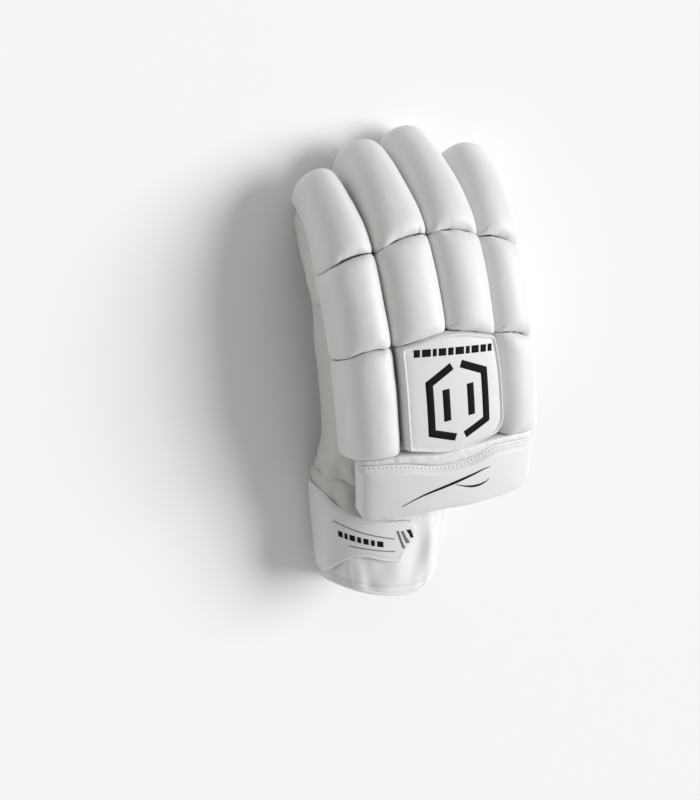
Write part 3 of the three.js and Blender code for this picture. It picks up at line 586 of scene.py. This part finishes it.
def panel(name, start, end, count, material, slot, relief):
    angle = even_angles(start + PANEL_GAP, end - PANEL_GAP, count)[None, :]
    ring = np.linspace(0, len(BODY_RINGS) - 1, 96)[:, None]
    outer = body_surface(ring, angle, 0, sleeve_overlap(ring))
    outer = pressed(pushed(outer, relief(outer, ring, angle)))
    inner = pressed(body_surface(ring, angle, LEATHER, sleeve_overlap(ring)), LEATHER)
    add_shell(name, outer, inner, [material, LINING], slot)


def side_relief(points, ring, _):
    # Soft folds where the sleeve draws in towards the wrist
    sleeve = smooth((ring - 3.2) / 1.6)
    long_folds = ripple(points * np.array([1.0, 0.4, 0.8]), 15, 61)
    return sleeve * (1.1 * long_folds + 0.3 * ripple(points, 9, 62)) + 0.25 * ripple(points, 18, 63)


def palm_relief(points, ring, angle):
    # Creases across the heel and the middle of the palm. Columns: ring, lean, depth
    share = (angle - PALM_ANGLES[0]) / (PALM_ANGLES[1] - PALM_ANGLES[0])
    creases = 0
    for at, lean, depth in ((1.15, 0.5, 0.8), (2.3, -0.6, 0.9), (3.6, -0.9, 0.7)):
        creases = creases + depth * np.exp(-((ring - at - lean * (share - 0.5)) / 0.07) ** 2)
    creases = creases * smooth(4 * share) * smooth(4 - 4 * share)
    return 0.5 * ripple(points, 20, 66) + 0.25 * ripple(points, 7, 67) - creases


def gusset(rows, columns):
    # A perforated panel: each cell has a round hole, cut through the outer and the inner face
    ring_lines = np.linspace(0, len(BODY_RINGS) - 1, 2 * rows + 1)
    angle_lines = even_angles(GUSSET_ANGLES[0] + PANEL_GAP, GUSSET_ANGLES[1] - PANEL_GAP, 2 * columns + 1)
    ids = np.arange(ring_lines.size * angle_lines.size).reshape(ring_lines.size, -1)
    edge = np.array([(0, 0), (0, 1), (0, 2), (1, 2), (2, 2), (2, 1), (2, 0), (1, 0)])
    toward = unit(edge - 1)
    cells = 2 * np.argwhere(np.ones((rows, columns)))[:, None]
    holes = (cells + 1 + GUSSET_HOLE * toward).reshape(-1, 2)
    spots = np.concatenate([np.argwhere(ids >= 0), holes])
    ring = np.interp(spots[:, 0], np.arange(ring_lines.size), ring_lines)
    angle = np.interp(spots[:, 1], np.arange(angle_lines.size), angle_lines)
    over = sleeve_overlap(ring)
    flat = body_surface(ring, angle, 0, over)
    relief = 0.5 * ripple(flat, 12, 64) + 0.2 * ripple(flat, 5, 65)
    outer = pressed(body_surface(ring, angle, -relief, over))
    inner = pressed(body_surface(ring, angle, LEATHER - relief, over), LEATHER)
    count = len(outer)
    rims = ids[tuple(np.moveaxis(cells + edge, -1, 0))]
    hole_rims = ids.size + np.arange(len(holes)).reshape(-1, 8)
    after, hole_after = np.roll(rims, -1, 1), np.roll(hole_rims, -1, 1)
    skin = np.stack([rims, after, hole_after, hole_rims], -1).reshape(-1, 4)
    walls = [np.stack([hole_rims, hole_after, hole_after + count, hole_rims + count], -1).reshape(-1, 4)]
    for line in (ids[0, ::-1], ids[-1], ids[::-1, -1], ids[:, 0]):
        walls.append(np.stack([line[:-1], line[1:], line[1:] + count, line[:-1] + count], -1))
    faces = np.concatenate([skin, skin[:, ::-1] + count, *walls])
    inside = np.zeros(len(faces), int)
    inside[len(skin):2 * len(skin)] = 1
    used, packed = np.unique(faces, return_inverse=True)
    points = np.concatenate([outer, inner])[used]
    piece = make("side_gusset", points, packed.reshape(-1, 4), [MESH, LINING], inside)
    place(piece, "gusset_mesh", "side_gusset")


# The back and sides take the darker side leather, which is painted shade
panel("back_and_sides", *BACK_ANGLES, 150, SHADED_SIDE_LEATHER, "side_leather", side_relief)
gusset(44, 7)
panel("palm", *PALM_ANGLES, 90, PALM, "palm_leather", palm_relief)


# The thumb
def thumb_line():
    rows = THUMB_PATH[:, :3] * np.array([COLUMN_WIDTH, THUMB_LENGTH, THUMB_RADIUS])
    padded = np.concatenate([[2 * rows[0] - rows[1]], rows, [2 * rows[-1] - rows[-2]]])
    points = []
    for row in range(1, len(padded) - 2):
        p0, p1, p2, p3 = padded[row - 1:row + 3]
        t0, t1, t2 = [max(np.linalg.norm(b - a) ** 0.5, 1e-4) for a, b in ((p0, p1), (p1, p2), (p2, p3))]
        start = ((p1 - p0) / t0 - (p2 - p0) / (t0 + t1) + (p2 - p1) / t1) * t1
        end = ((p2 - p1) / t1 - (p3 - p1) / (t1 + t2) + (p3 - p2) / t2) * t1
        t = np.linspace(0, 1, 80, endpoint=row == len(padded) - 3)[:, None]
        points.append(curve(p1, p2, start, end, t))
    points = np.concatenate(points)
    length = walked(points)
    return length / length[-1], points


THUMB_AT, THUMB_POINTS = thumb_line()


def thumb_surface(at, angle, out, shrink):
    at, angle, out, shrink = np.broadcast_arrays(at, angle, out, shrink)
    middle = read_path(at, THUMB_AT, THUMB_POINTS)
    tangent = read_path(at, THUMB_AT, unit(np.gradient(THUMB_POINTS, axis=0)))
    side = unit(stacked(tangent[..., 1], -tangent[..., 0], 0))
    up = np.cross(side, tangent)
    radius = read_smooth(np.arange(6.0), THUMB_PATH[:, 3], at * 5) * THUMB_RADIUS + out
    radius = radius * shrink
    turn = np.radians(angle)
    return middle + side * (radius * np.cos(turn))[..., None] + up * (radius * np.sin(turn))[..., None]


def thumb_shrink(at):
    return np.sqrt(1 - clamp((at - 0.8) / 0.2) ** 2.2)


def thumb():
    angle = np.linspace(0, 360, 72, endpoint=False)[None, :]
    rounding = 0.8 + 0.2 * np.sin(np.linspace(0, np.pi / 2, 20)[1:])
    at = np.concatenate([np.linspace(0.2, 0.8, 44), rounding])[:, None]
    outer = thumb_surface(at, angle, 0, thumb_shrink(at))
    amount = 0.35 * ripple(outer, 12, 71) * smooth((1 - at) / 0.05)
    outer = pressed(pushed(outer, amount, wrap=True, sign=-1))
    inner_at = at * (1 - 1.2 * LEATHER / THUMB_LENGTH)
    inner = pressed(thumb_surface(inner_at, angle, -LEATHER, thumb_shrink(at)), LEATHER)
    add_shell("thumb_stall", outer, inner, [PALM, LINING], "palm_leather", wrap=True)
    for name, (start, end) in {"thumb_base_pad": (0.36, 0.645), "thumb_tip_pad": (0.65, 0.97)}.items():
        places = np.sin(np.linspace(-np.pi / 2, np.pi / 2, 56))
        a, b = places[None, :], places[:, None]
        place_at = mix(start, end, (b + 1) / 2)
        turn = mix(-35, 108, (a + 1) / 2)
        full = np.sqrt(1 - np.abs(a) ** 3) * np.sqrt(1 - np.abs(b) ** 5)
        top = thumb_surface(place_at, turn, 1.0 + (THUMB_PAD - 0.8) * full, thumb_shrink(place_at))
        top = pressed(pushed(top, 0.15 * ripple(top, 14, 72) * full, sign=-1))
        base = pressed(thumb_surface(place_at, turn, -0.8, thumb_shrink(place_at)), 0.4)
        add_shell(name, top, base, [WHITE], "roll_leather", ROLL_FILL)


thumb()


# Prints and stitches that lie on a surface, given as a function of two places on it
def ribbon(name, lines, seat, material, slot, thickness=0.14):
    # Flat strokes. Each line is (points, widths), and seat(x, y, lift) puts them on the surface
    points, faces = [], []
    for path, widths in lines:
        step = np.linalg.norm(np.diff(path, axis=0), axis=1)
        keys = np.concatenate([[0], np.cumsum(np.maximum(1, np.ceil(step / 1.2)).astype(int))])
        places = np.arange(keys[-1] + 1)
        width = np.interp(places, keys, np.broadcast_to(widths, len(path)))
        headings = np.diff(path, axis=0) / step[:, None]
        sides = stacked(-headings[:, 1], headings[:, 0])
        # A bend's side is between those of its two pieces, and longer
        total = np.concatenate([sides[:1], sides]) + np.concatenate([sides, sides[-1:]])
        mitre = total / np.maximum((total ** 2).sum(1, keepdims=True) / 2, 0.4)
        offset = read_path(places, keys, mitre)[:, None] * np.linspace(-0.5, 0.5, 4)[None, :, None]
        flat = read_path(places, keys, path)[:, None] + offset * width[:, None, None]
        top = seat(flat[..., 0], flat[..., 1], thickness)
        low = seat(flat[..., 0], flat[..., 1], -0.4)
        part_points, part_faces, _ = shell_mesh(top, low)
        faces.append(part_faces + sum(map(len, points)))
        points.append(part_points)
    place(make(name, np.concatenate(points), np.concatenate(faces), [material], weld=False), slot)


def stitches(name, rows, slot, pitch, length, radius):
    # Short threads sunk a little into the surface. Each row is (points, normals)
    points, faces = [], []
    ring = np.linspace(0, 2 * np.pi, 6, endpoint=False)
    # Rings of a thread. Columns: share of its length, share of its radius
    ends = [(-0.5, 0.35), (-0.36, 0.9), (0, 1.0), (0.36, 0.9), (0.5, 0.35)]
    caps = np.array([(0, 1, 2, 3), (0, 3, 4, 5), (27, 26, 25, 24), (29, 28, 27, 24)])
    for path, normals in rows:
        walk = walked(path)
        places = np.arange(pitch / 2, walk[-1] - length / 2, pitch)
        spots = read_path(places, walk, path)
        ahead = unit(read_path(places + 0.4, walk, path) - spots)
        up = unit(read_path(places, walk, normals))
        for centre, front, above, beside in zip(spots, ahead, up, np.cross(ahead, up)):
            start = len(points) * 30
            faces += [grid_faces(5, 6, True, start), caps + start]
            points.append([centre + front * at * length + above * (radius * 0.35)
                           + radius * wide * (np.cos(turn) * beside + np.sin(turn) * above)
                           for at, wide in ends for turn in ring])
    place(make(name, np.concatenate(points), np.concatenate(faces), [THREAD], weld=False), slot)


def path_rows(places, seat, lift):
    # A seam line on a surface, with the surface's own normals
    x, y = places.T
    base = seat(x, y, lift)
    return base, seat(x, y, lift + 1) - base


# The palm's seams and its vents
def palm_seat(ring, angle, lift):
    base = body_surface(ring, angle, 0)
    return body_surface(ring, angle, -palm_relief(base, ring, angle) - lift)


def palm_details():
    ring = np.linspace(0.05, 5.7, 160)
    seams = [path_rows(stacked(ring, angle), palm_seat, 0.05) for angle in (242.2, 331.6)]
    stitches("palm_stitches", seams, "palm_leather", 2.8, 2.0, 0.35)
    # Each vent has a raised rim and a black floor, which is painted shade in place of the hole. Columns:
    # share of the radius, lift
    rim = [(1.0, -0.4), (1.0, 0.3), (0.86, 0.42), (0.72, 0.3), (0.62, 0.08), (0, 0.08)]
    turn = np.linspace(0, 2 * np.pi, 14, endpoint=False)
    around = np.arange(6) * math.pi / 3
    points, faces = [], []
    for ring, angle in [(2.35, 287), *zip(2.35 + 0.3 * np.cos(around), 287 + 11 * np.sin(around))]:
        faces.append(grid_faces(len(rim), 14, True, sum(map(len, points))))
        for size, lift in rim:
            places = ring + 0.05 * size * np.cos(turn), angle + 1.7 * size * np.sin(turn)
            points.append(palm_seat(*places, lift))
    faces = np.concatenate(faces)
    shade = (np.arange(len(faces)) // 14 % 5 == 4).astype(int)
    # The floor rings take the black print material as painted shade
    place(make("palm_vents", np.concatenate(points), faces, [PALM, BLACK_PRINT_AND_VENT_SHADE], shade), "palm_leather")


palm_details()


# The badge
BADGE_OUTLINE = np.array([
    (-0.97, 0.12), (-0.02, 0.19), (0.88, 0.03), (0.94, -0.3), (0.96, -0.88), (0.8, -1.0), (-0.1, -1.07),
    (-0.97, -0.94), (-0.985, -0.6)]) * np.array([COLUMN_WIDTH, BACK_LENGTH]) * np.array([0.995, 1])
BADGE_CORNERS = [2.5, 14, 3, 20, 4, 3, 16, 2.5, 20]
# The badge's profile. Columns: distance inside the outline, height above the underside of the rolls
BADGE_PROFILE = np.array([
    (1.2, 0.4), (0.0, 1.5), (0.0, 6.3), (0.25, 7.8), (0.7, 9.6), (1.1, 10.8), (1.5, 11.5), (1.9, 11.75),
    (2.3, 11.6), (2.6, 11.1), (2.9, 10.75), (3.4, 10.95), (4.6, 11.15)])
BADGE_PANEL = 11.15
BADGE_GROOVE = (2.9, -0.33)     # inset of the groove inside the rim, and the stitches' lift from the panel
BADGE_FOLLOWS = 2.0
BADGE_RADIUS = 29


def rounded_outline(corners, radii):
    # Rounds each corner with a smooth bend, then spreads the points evenly
    pieces = []
    t = np.linspace(0, 1, 24)[:, None]
    for before, spot, after, radius in zip(np.roll(corners, 1, 0), corners, np.roll(corners, -1, 0), radii):
        back, ahead = before - spot, after - spot
        reach = min(radius, np.linalg.norm(back) * 0.45, np.linalg.norm(ahead) * 0.45)
        start, end = spot + unit(back) * reach, spot + unit(ahead) * reach
        pieces.append((1 - t) ** 2 * start + 2 * t * (1 - t) * spot + t ** 2 * end)
    path = np.concatenate([*pieces, pieces[0][:1]])
    walk = walked(path)
    return read_path(np.linspace(0, walk[-1], 360, endpoint=False), walk, path)


def inward(outline):
    ahead = np.roll(outline, -2, 0) - np.roll(outline, 2, 0)
    normal = unit(stacked(-ahead[:, 1], ahead[:, 0]))
    return normal * np.sign(((outline.mean(0) - outline) * normal).sum())


def badge_ring(outline, normal, inset):
    # Follows the outline near it, and shrinks towards the middle further in, so that no corner crosses itself
    near = outline + normal * min(inset, BADGE_FOLLOWS)
    return near + (outline.mean(0) - near) * max(inset - BADGE_FOLLOWS, 0) / BADGE_RADIUS


def badge_seat(x, y, lift):
    return bent(x, y, BADGE_PANEL + lift)


def badge():
    outline = rounded_outline(BADGE_OUTLINE, BADGE_CORNERS)
    normal = inward(outline)
    rings = []
    for inset, height in BADGE_PROFILE:
        last = badge_ring(outline, normal, inset)
        wave = 0.07 * ripple(stacked(*last.T, 0), 12, 81) if height > 3 else 0
        rings.append(bent(*last.T, height + wave))
    centre = last.mean(0)
    for share in (0.85, 0.7, 0.55, 0.4, 0.25, 0.12, 0.0):
        rings.append(bent(*(centre + (last - centre) * share).T, BADGE_PANEL))
    flat = outline + normal * BADGE_PROFILE[0, 0]
    base = [bent(*(centre + (flat - centre) * share).T, 0.35) for share in (0.0, 0.5, 1.0)]
    add_grid("back_badge", np.stack([*base, *rings]), WHITE, "badge_leather", "back_badge", 0.9)
    line = badge_ring(outline, normal, BADGE_GROOVE[0])
    seam = path_rows(np.concatenate([line, line[:1]]), badge_seat, BADGE_GROOVE[1])
    stitches("badge_stitches", [seam], "badge_leather", 2.1, 1.5, 0.24)


badge()


# A plain device on the badge: two halves of a six-sided frame, a bar in each, and a row of dashes
def badge_device():
    centre = np.array([0.4, -29.5])
    lines = []
    for side in (-1, 1):
        for line in [(2.9, 20.5), (17.2, 13.5), (17.2, -14.5), (2.9, -20.0)], [(7.6, 8.5), (7.6, -9.5)]:
            lines.append((np.array(line) * (side, 1) + centre, 4.2))
    ribbon("badge_device", lines, badge_seat, BLACK_PRINT_AND_VENT_SHADE, "badge_leather")
    dashes = []
    x = -23.6
    for width in (3.4, 5.0, 2.2, 4.4, 3.2, 5.2, 2.4, 4.6, 3.6, 2.6):
        dashes.append((np.array([(end, -1.3 - 0.145 * end) for end in (x, x + width)]), 4.0))
        x += width + 1.25
    ribbon("badge_dashes", dashes, badge_seat, BLACK_PRINT_AND_VENT_SHADE, "badge_leather")


badge_device()


# The welt and the wrist guard. Columns: across at the welt, front, stitch, across at the free edge, free
GUARD_ROWS = np.array([
    (-1.78, -0.975, -1.04, -1.78, -0.8), (-1.66, -0.974, -1.045, -1.68, -0.94),
    (-1.4, -0.972, -1.055, -1.38, -0.97), (-1.0, -0.975, -1.085, -0.95, -0.91),
    (-0.3, -1.045, -1.19, -0.3, -0.76), (0.25, -1.05, -1.2, 0.22, -0.81),
    (0.8, -1.065, -1.155, 0.74, -0.93), (1.3, -1.108, -1.2, 1.2, -0.9),
    (1.68, -1.156, -1.26, 1.55, -0.78), (1.89, -1.183, -1.3, 1.76, -0.5)])


def guard_row(across_share):
    # The guard's lines at an even share of its width
    keys = GUARD_ROWS[:, 0]
    across = mix(keys[0], keys[-1], across_share)
    return [across] + [read_smooth(keys, column, across) for column in GUARD_ROWS[:, 1:].T]


def guard_point(u, v, out):
    across, _, stitch, free_across, free = guard_row(u)
    start = stitch * BACK_LENGTH - 0.3
    along = mix(start, start + free * GUARD_LENGTH, v)
    across = mix(across, free_across, v) * COLUMN_WIDTH
    return bent(across, along, out + shoulder(across) + 1.5 * v)


def guard_height(u, v):
    sides = rounded_sides(u, 26)
    front = mix(0.5, 1, smooth(v / 0.14))
    rear = (1 - clamp((v - 0.6) / 0.4) ** 7) ** 0.5
    soft = 0.14 * np.sin(9 * u + 3.5 * v) * np.sin(3.1 * v) + 0.1 * np.sin(21 * u - 5 * v) * v
    return 1.0 + (GUARD_THICKNESS + soft) * (0.25 * sides + 0.75 * sides * front) * mix(0.12, 1, rear)


def guard_seat(u, v, lift):
    return guard_point(u, v, guard_height(u, v) + lift)


def guard():
    u = (1 - np.cos(np.linspace(0, np.pi, 150))[None, :]) / 2
    rounded = 1 - 0.15 * (1 - np.sin(np.linspace(0, np.pi / 2, 20)[1:]))
    v = np.concatenate([np.linspace(0, 0.2, 16), np.linspace(0.2, 0.85, 26)[1:], rounded])[:, None]
    top = guard_seat(u, v, 0)
    base = guard_point(u, v, 0.6)
    add_shell("wrist_guard", top, base, [WHITE], "guard_leather", 0.9)
    v = np.linspace(0, 1, 18)[:, None]

    def welt_point(u, v, out):
        across, front, stitch, _, _ = guard_row(u)
        along = mix(front * BACK_LENGTH - 0.4, stitch * BACK_LENGTH, v)
        return bent(across * COLUMN_WIDTH, along, out + shoulder(across * COLUMN_WIDTH))

    top = welt_point(u, v, 7.6 * (mix(0.55, 1, rounded_sides(v, 4)) * mix(0.6, 1, rounded_sides(u, 14))))
    top = pushed(top, 0.12 * ripple(top, 5, 93) * smooth(v * 4) * smooth(4 - 4 * v), sign=-1)
    add_shell("guard_welt", top, welt_point(u, v, 0.6), [WHITE], "guard_leather", 0.8)
    seam = path_rows(stacked(np.linspace(0.012, 0.985, 220), 0.035), guard_seat, 0.1)
    stitches("guard_stitches", [seam], "guard_leather", 2.6, 1.9, 0.42)


guard()


def guard_flourish():
    # Plain brush strokes, thick in the middle and pointed at both ends, laid out on a guard of this size
    size = np.array([118, 33])
    # Start, bend and end as shares of that size, and width
    strokes = [((0.665, 0.28), (0.50, 0.20), (0.19, 0.72), 1.5), ((0.66, 0.5), (0.6, 0.62), (0.47, 0.4), 1.1)]
    t = np.linspace(0, 1, 30)[:, None]
    lines = []
    for start, bend, end, width in strokes:
        start, bend, end = np.array([start, bend, end])
        path = (1 - t) ** 2 * start + 2 * t * (1 - t) * bend + t ** 2 * end
        lines.append((path * size, 0.25 + width * np.sin(np.pi * t[:, 0]) ** 1.4))

    def seat(x, y, lift):
        return guard_seat(x / size[0], y / size[1], lift + 0.08)

    ribbon("guard_flourish", lines, seat, BLACK_PRINT_AND_VENT_SHADE, "guard_leather")


guard_flourish()


# The wristband
BAND_END = {"across": -1.05, "half_width": 0.88, "skew": 0.2, "square": 2.3}
BAND_CUT = {"left": 6, "right": 29, "power": 2.3}


def band_surface(at, angle, out):
    at, angle, out = np.broadcast_arrays(np.asarray(at, float), angle, out)
    front = body_surface(len(BODY_RINGS) - 1.0, angle, -out - 1.2, -0.6)
    turn = np.radians(angle)
    side = signed_power(np.cos(turn), 2 / BAND_END["square"])
    rise = signed_power(np.sin(turn), 2 / BAND_END["square"])
    x = (BAND_HALF_WIDTH * BAND_END["half_width"] + out) * side
    z = (BAND_HALF_DEPTH + out) * rise + BAND_HALF_DEPTH + STRAP_THICKNESS - 1
    drawn_in = np.where(side > 0, BAND_CUT["right"], BAND_CUT["left"]) * np.abs(side) ** BAND_CUT["power"]
    y = -WRIST_REACH - BAND_LENGTH - BAND_END["skew"] * x + drawn_in
    end = np.stack([BAND_END["across"] * COLUMN_WIDTH + x, y, z], -1)
    return mix(front, end, at[..., None])


def band():
    angle = np.linspace(0, 360, 200, endpoint=False)[None, :]
    rim = np.sin(np.linspace(0, np.pi / 2, 10)) * 0.04
    at = np.concatenate([0.04 - rim[::-1], np.linspace(0.04, 0.96, 50)[1:-1], 0.96 + rim])[:, None]
    edge = np.minimum(at, 1 - at) / 0.04
    rounded = -1.4 * (1 - np.sqrt(clamp(1 - (1 - clamp(edge)) ** 2)))
    outer = band_surface(at, angle, rounded)
    wrinkle = stacked(angle * 0.75, at * 26, 0)
    amount = 0.75 * ripple(wrinkle, 22, 95) + 0.2 * ripple(wrinkle, 10, 96)
    # The closed end's binding is set off by a shallow groove
    amount = amount * smooth(edge / 2) - 0.8 * np.exp(-((at - 0.925) / 0.009) ** 2)
    outer = pressed(pushed(outer, amount, wrap=True), STRAP_THICKNESS + 0.4)
    inner = band_surface(at, angle, -BAND_WALL - 1.2 * (1 - at) - rounded * 0.3)
    inner = pressed(inner, STRAP_THICKNESS + 0.6 + BAND_WALL)
    points, faces, inside = shell_mesh(outer, inner, wrap=True)
    strap_front = strap_edges(angle)[0] * STRAP_WIDTH / BAND_LENGTH
    # These faces of the band, beside the sleeve, take the darker side leather as painted shade
    sleeve = (at < strap_front + 0.03) & (angle > 96) & (angle < 300)
    inside[:sleeve[:-1].size] = np.where(sleeve[:-1].ravel(), 2, 0)
    place(make("wristband", points, faces, [WHITE, LINING, SHADED_SIDE_LEATHER], inside), "band_leather", "wristband", 0.5)


# The strap's edges. Columns: angle round the band, front and rear as shares of the strap width
STRAP_ROWS = np.array([
    (84, 0.5, 0.58), (88, 0.44, 0.78), (93, 0.44, 1.03), (105, 0.46, 1.03), (120, 0.46, 1.0),
    (135, 0.42, 1.04), (150, 0.36, 1.18), (165, 0.25, 1.34), (180, 0.22, 1.42), (195, 0.22, 1.4),
    (210, 0.22, 1.34), (225, 0.22, 1.28), (240, 0.22, 1.24), (300, 0.22, 1.22), (315, 0.25, 1.15),
    (330, 0.55, 0.75)])
STRAP_CLEARANCE = 0.5


def strap_edges(angle):
    return [np.interp(angle, STRAP_ROWS[:, 0], column) for column in STRAP_ROWS[:, 1:].T]


band()


def strap_point(angle, w, out):
    return band_surface(mix(*strap_edges(angle), w) * STRAP_WIDTH / BAND_LENGTH, angle, out)


def strap_seat(angle, share, lift):
    # A place on the strap: angle round the band and share of the strap width from the band's front edge
    return band_surface(share * STRAP_WIDTH / BAND_LENGTH, angle, STRAP_CLEARANCE + STRAP_THICKNESS + lift)


def strap():
    first, last = STRAP_ROWS[0, 0], STRAP_ROWS[-1, 0]
    angle = np.unique(np.concatenate([np.linspace(first, last, 260), STRAP_ROWS[:, 0]]))[:, None]
    w = (1 - np.cos(np.linspace(0, np.pi, 36))[None, :]) / 2
    ends = np.minimum(angle - first, last - angle)
    out = STRAP_CLEARANCE + STRAP_THICKNESS * mix(0.35, 1, rounded_sides(w, 8) * smooth(ends / 2 + 0.3))
    top = pressed(strap_point(angle, w, out))
    low = pressed(strap_point(angle, w, 0.35), 1.2)
    add_shell("closing_strap", top, low, [WHITE], "strap_leather", 0.4)
    # A row of stitches just inside the edge
    around = np.concatenate([np.linspace(176, 93.8, 60), [86.2], np.linspace(90, 176, 60)])
    front, rear = strap_edges(around)
    share = np.where(np.arange(121) < 60, rear - 0.075, np.where(np.arange(121) > 60, front + 0.06, 0.6))
    seam = path_rows(stacked(around, share), strap_seat, -0.05)
    stitches("strap_stitches", [seam], "strap_leather", 2.2, 1.5, 0.22)


strap()


def strap_prints():
    # Stretched so that both directions are in millimetres on the flat ribbon
    round_mm, wide_mm = 0.62, STRAP_WIDTH

    def seat(x, y, lift):
        return strap_seat(x / round_mm, y / wide_mm, lift + 0.05)

    def line(points, width):
        return np.array(points) * (round_mm, wide_mm), width

    thin = [(153, 0.60), (125, 0.66), (97.5, 0.70)], [(137, 0.90), (118, 0.89), (97.5, 0.89)]
    thin = [line(points, 0.5) for points in thin]
    ribbon("strap_lines", thin, seat, GREY_INK, "strap_leather")
    dashes = []
    angle = 148.0
    for width in (4.6, 3.0, 5.2, 3.4, 4.4, 3.0, 4.8):
        share = 0.80 - 0.035 * (angle - 100) / 50
        dashes.append(line([(angle, share - 0.002), (angle - width, share)], 3.0))
        angle -= width + 2.2
    ribbon("strap_dashes", dashes, seat, BLACK_PRINT_AND_VENT_SHADE, "strap_leather")
    grey = [line([(95.6, 0.58), (91.6, 0.84)], 0.9), line([(92.6, 0.58), (89.7, 0.76)], 0.9)]
    ribbon("strap_stripes", grey, seat, GREY_INK, "strap_leather")
    ribbon("strap_stripe_black", [line([(89.6, 0.56), (87.6, 0.68)], 1.1)], seat, BLACK_PRINT_AND_VENT_SHADE, "strap_leather")


strap_prints()


def cord(name, path, normals, radius, slot, closed=False):
    # A round cord along a path
    ahead = unit(np.roll(path, -1, 0) - np.roll(path, 1, 0) if closed else np.gradient(path, axis=0))
    side = unit(np.cross(ahead, unit(normals)))
    up = np.cross(side, ahead)
    turn = np.linspace(0, 2 * np.pi, 10, endpoint=False)[None, :, None]
    grid = path[:, None] + radius * (np.cos(turn) * side[:, None] + np.sin(turn) * up[:, None])
    if closed:
        grid = np.concatenate([grid, grid[:1]])
    add_grid(name, grid, PIPING, slot)


def piping():
    around = np.linspace(94, 205, 120)
    path, normals = path_rows(stacked(around, strap_edges(around)[1]), strap_seat, -1.2)
    cord("strap_piping", path, normals, 0.9, "strap_leather")
    around = np.linspace(0, 360, 200, endpoint=False)
    path = band_surface(0.985, around, -0.6)
    normals = band_surface(0.985, around, 1.0) - path
    cord("band_piping", pressed(path, 3.4), normals, 1.0, "band_leather", True)


piping()

# Stage, light and camera
floor_mesh = bpy.data.meshes.new("floor")
floor_mesh.from_pydata([(-6, -6, 0), (6, -6, 0), (6, 6, 0), (-6, 6, 0)], [], [(0, 1, 2, 3)])
floor = bpy.data.objects.new("floor", floor_mesh)
floor_mesh.materials.append(surface("floor_white", (0.97, 0.97, 0.97), 0.9, 3.0, 0.02, mottle=0.004))
scene.collection.objects.link(floor)

world = bpy.data.worlds.new("studio")
world.use_nodes = True
background = world.node_tree.nodes["Background"].inputs
background["Color"].default_value = (1.0, 0.985, 0.96, 1)
background["Strength"].default_value = 0.4
scene.world = world

light = bpy.data.lights.new("key", "SUN")
light.energy = 2.8
light.angle = math.radians(36)
light.color = (0.975, 0.99, 1.0)
lamp = bpy.data.objects.new("key", light)
lamp.rotation_euler = Vector((0.78, -0.02, 0.62)).to_track_quat("Z", "Y").to_euler()
scene.collection.objects.link(lamp)

# The camera, as turns about its own axes and a shift of the view in millimetres
VIEW_TURNS = (0.31068, 0.47509, 0.25837)
VIEW_SHIFT = (28.759, 30.932)
VIEW_DISTANCE = 1114.41
turned = Euler(VIEW_TURNS).to_matrix().transposed()
spot = turned @ Vector((-VIEW_SHIFT[0], -VIEW_SHIFT[1], VIEW_DISTANCE)) / 1000
camera_data = bpy.data.cameras.new("camera")
camera_data.lens = 85
camera_data.sensor_width = 36
camera = bpy.data.objects.new("camera", camera_data)
camera.matrix_world = Matrix.Translation(spot) @ turned.to_4x4()
scene.collection.objects.link(camera)
scene.camera = camera
scene.view_settings.view_transform = "Standard"
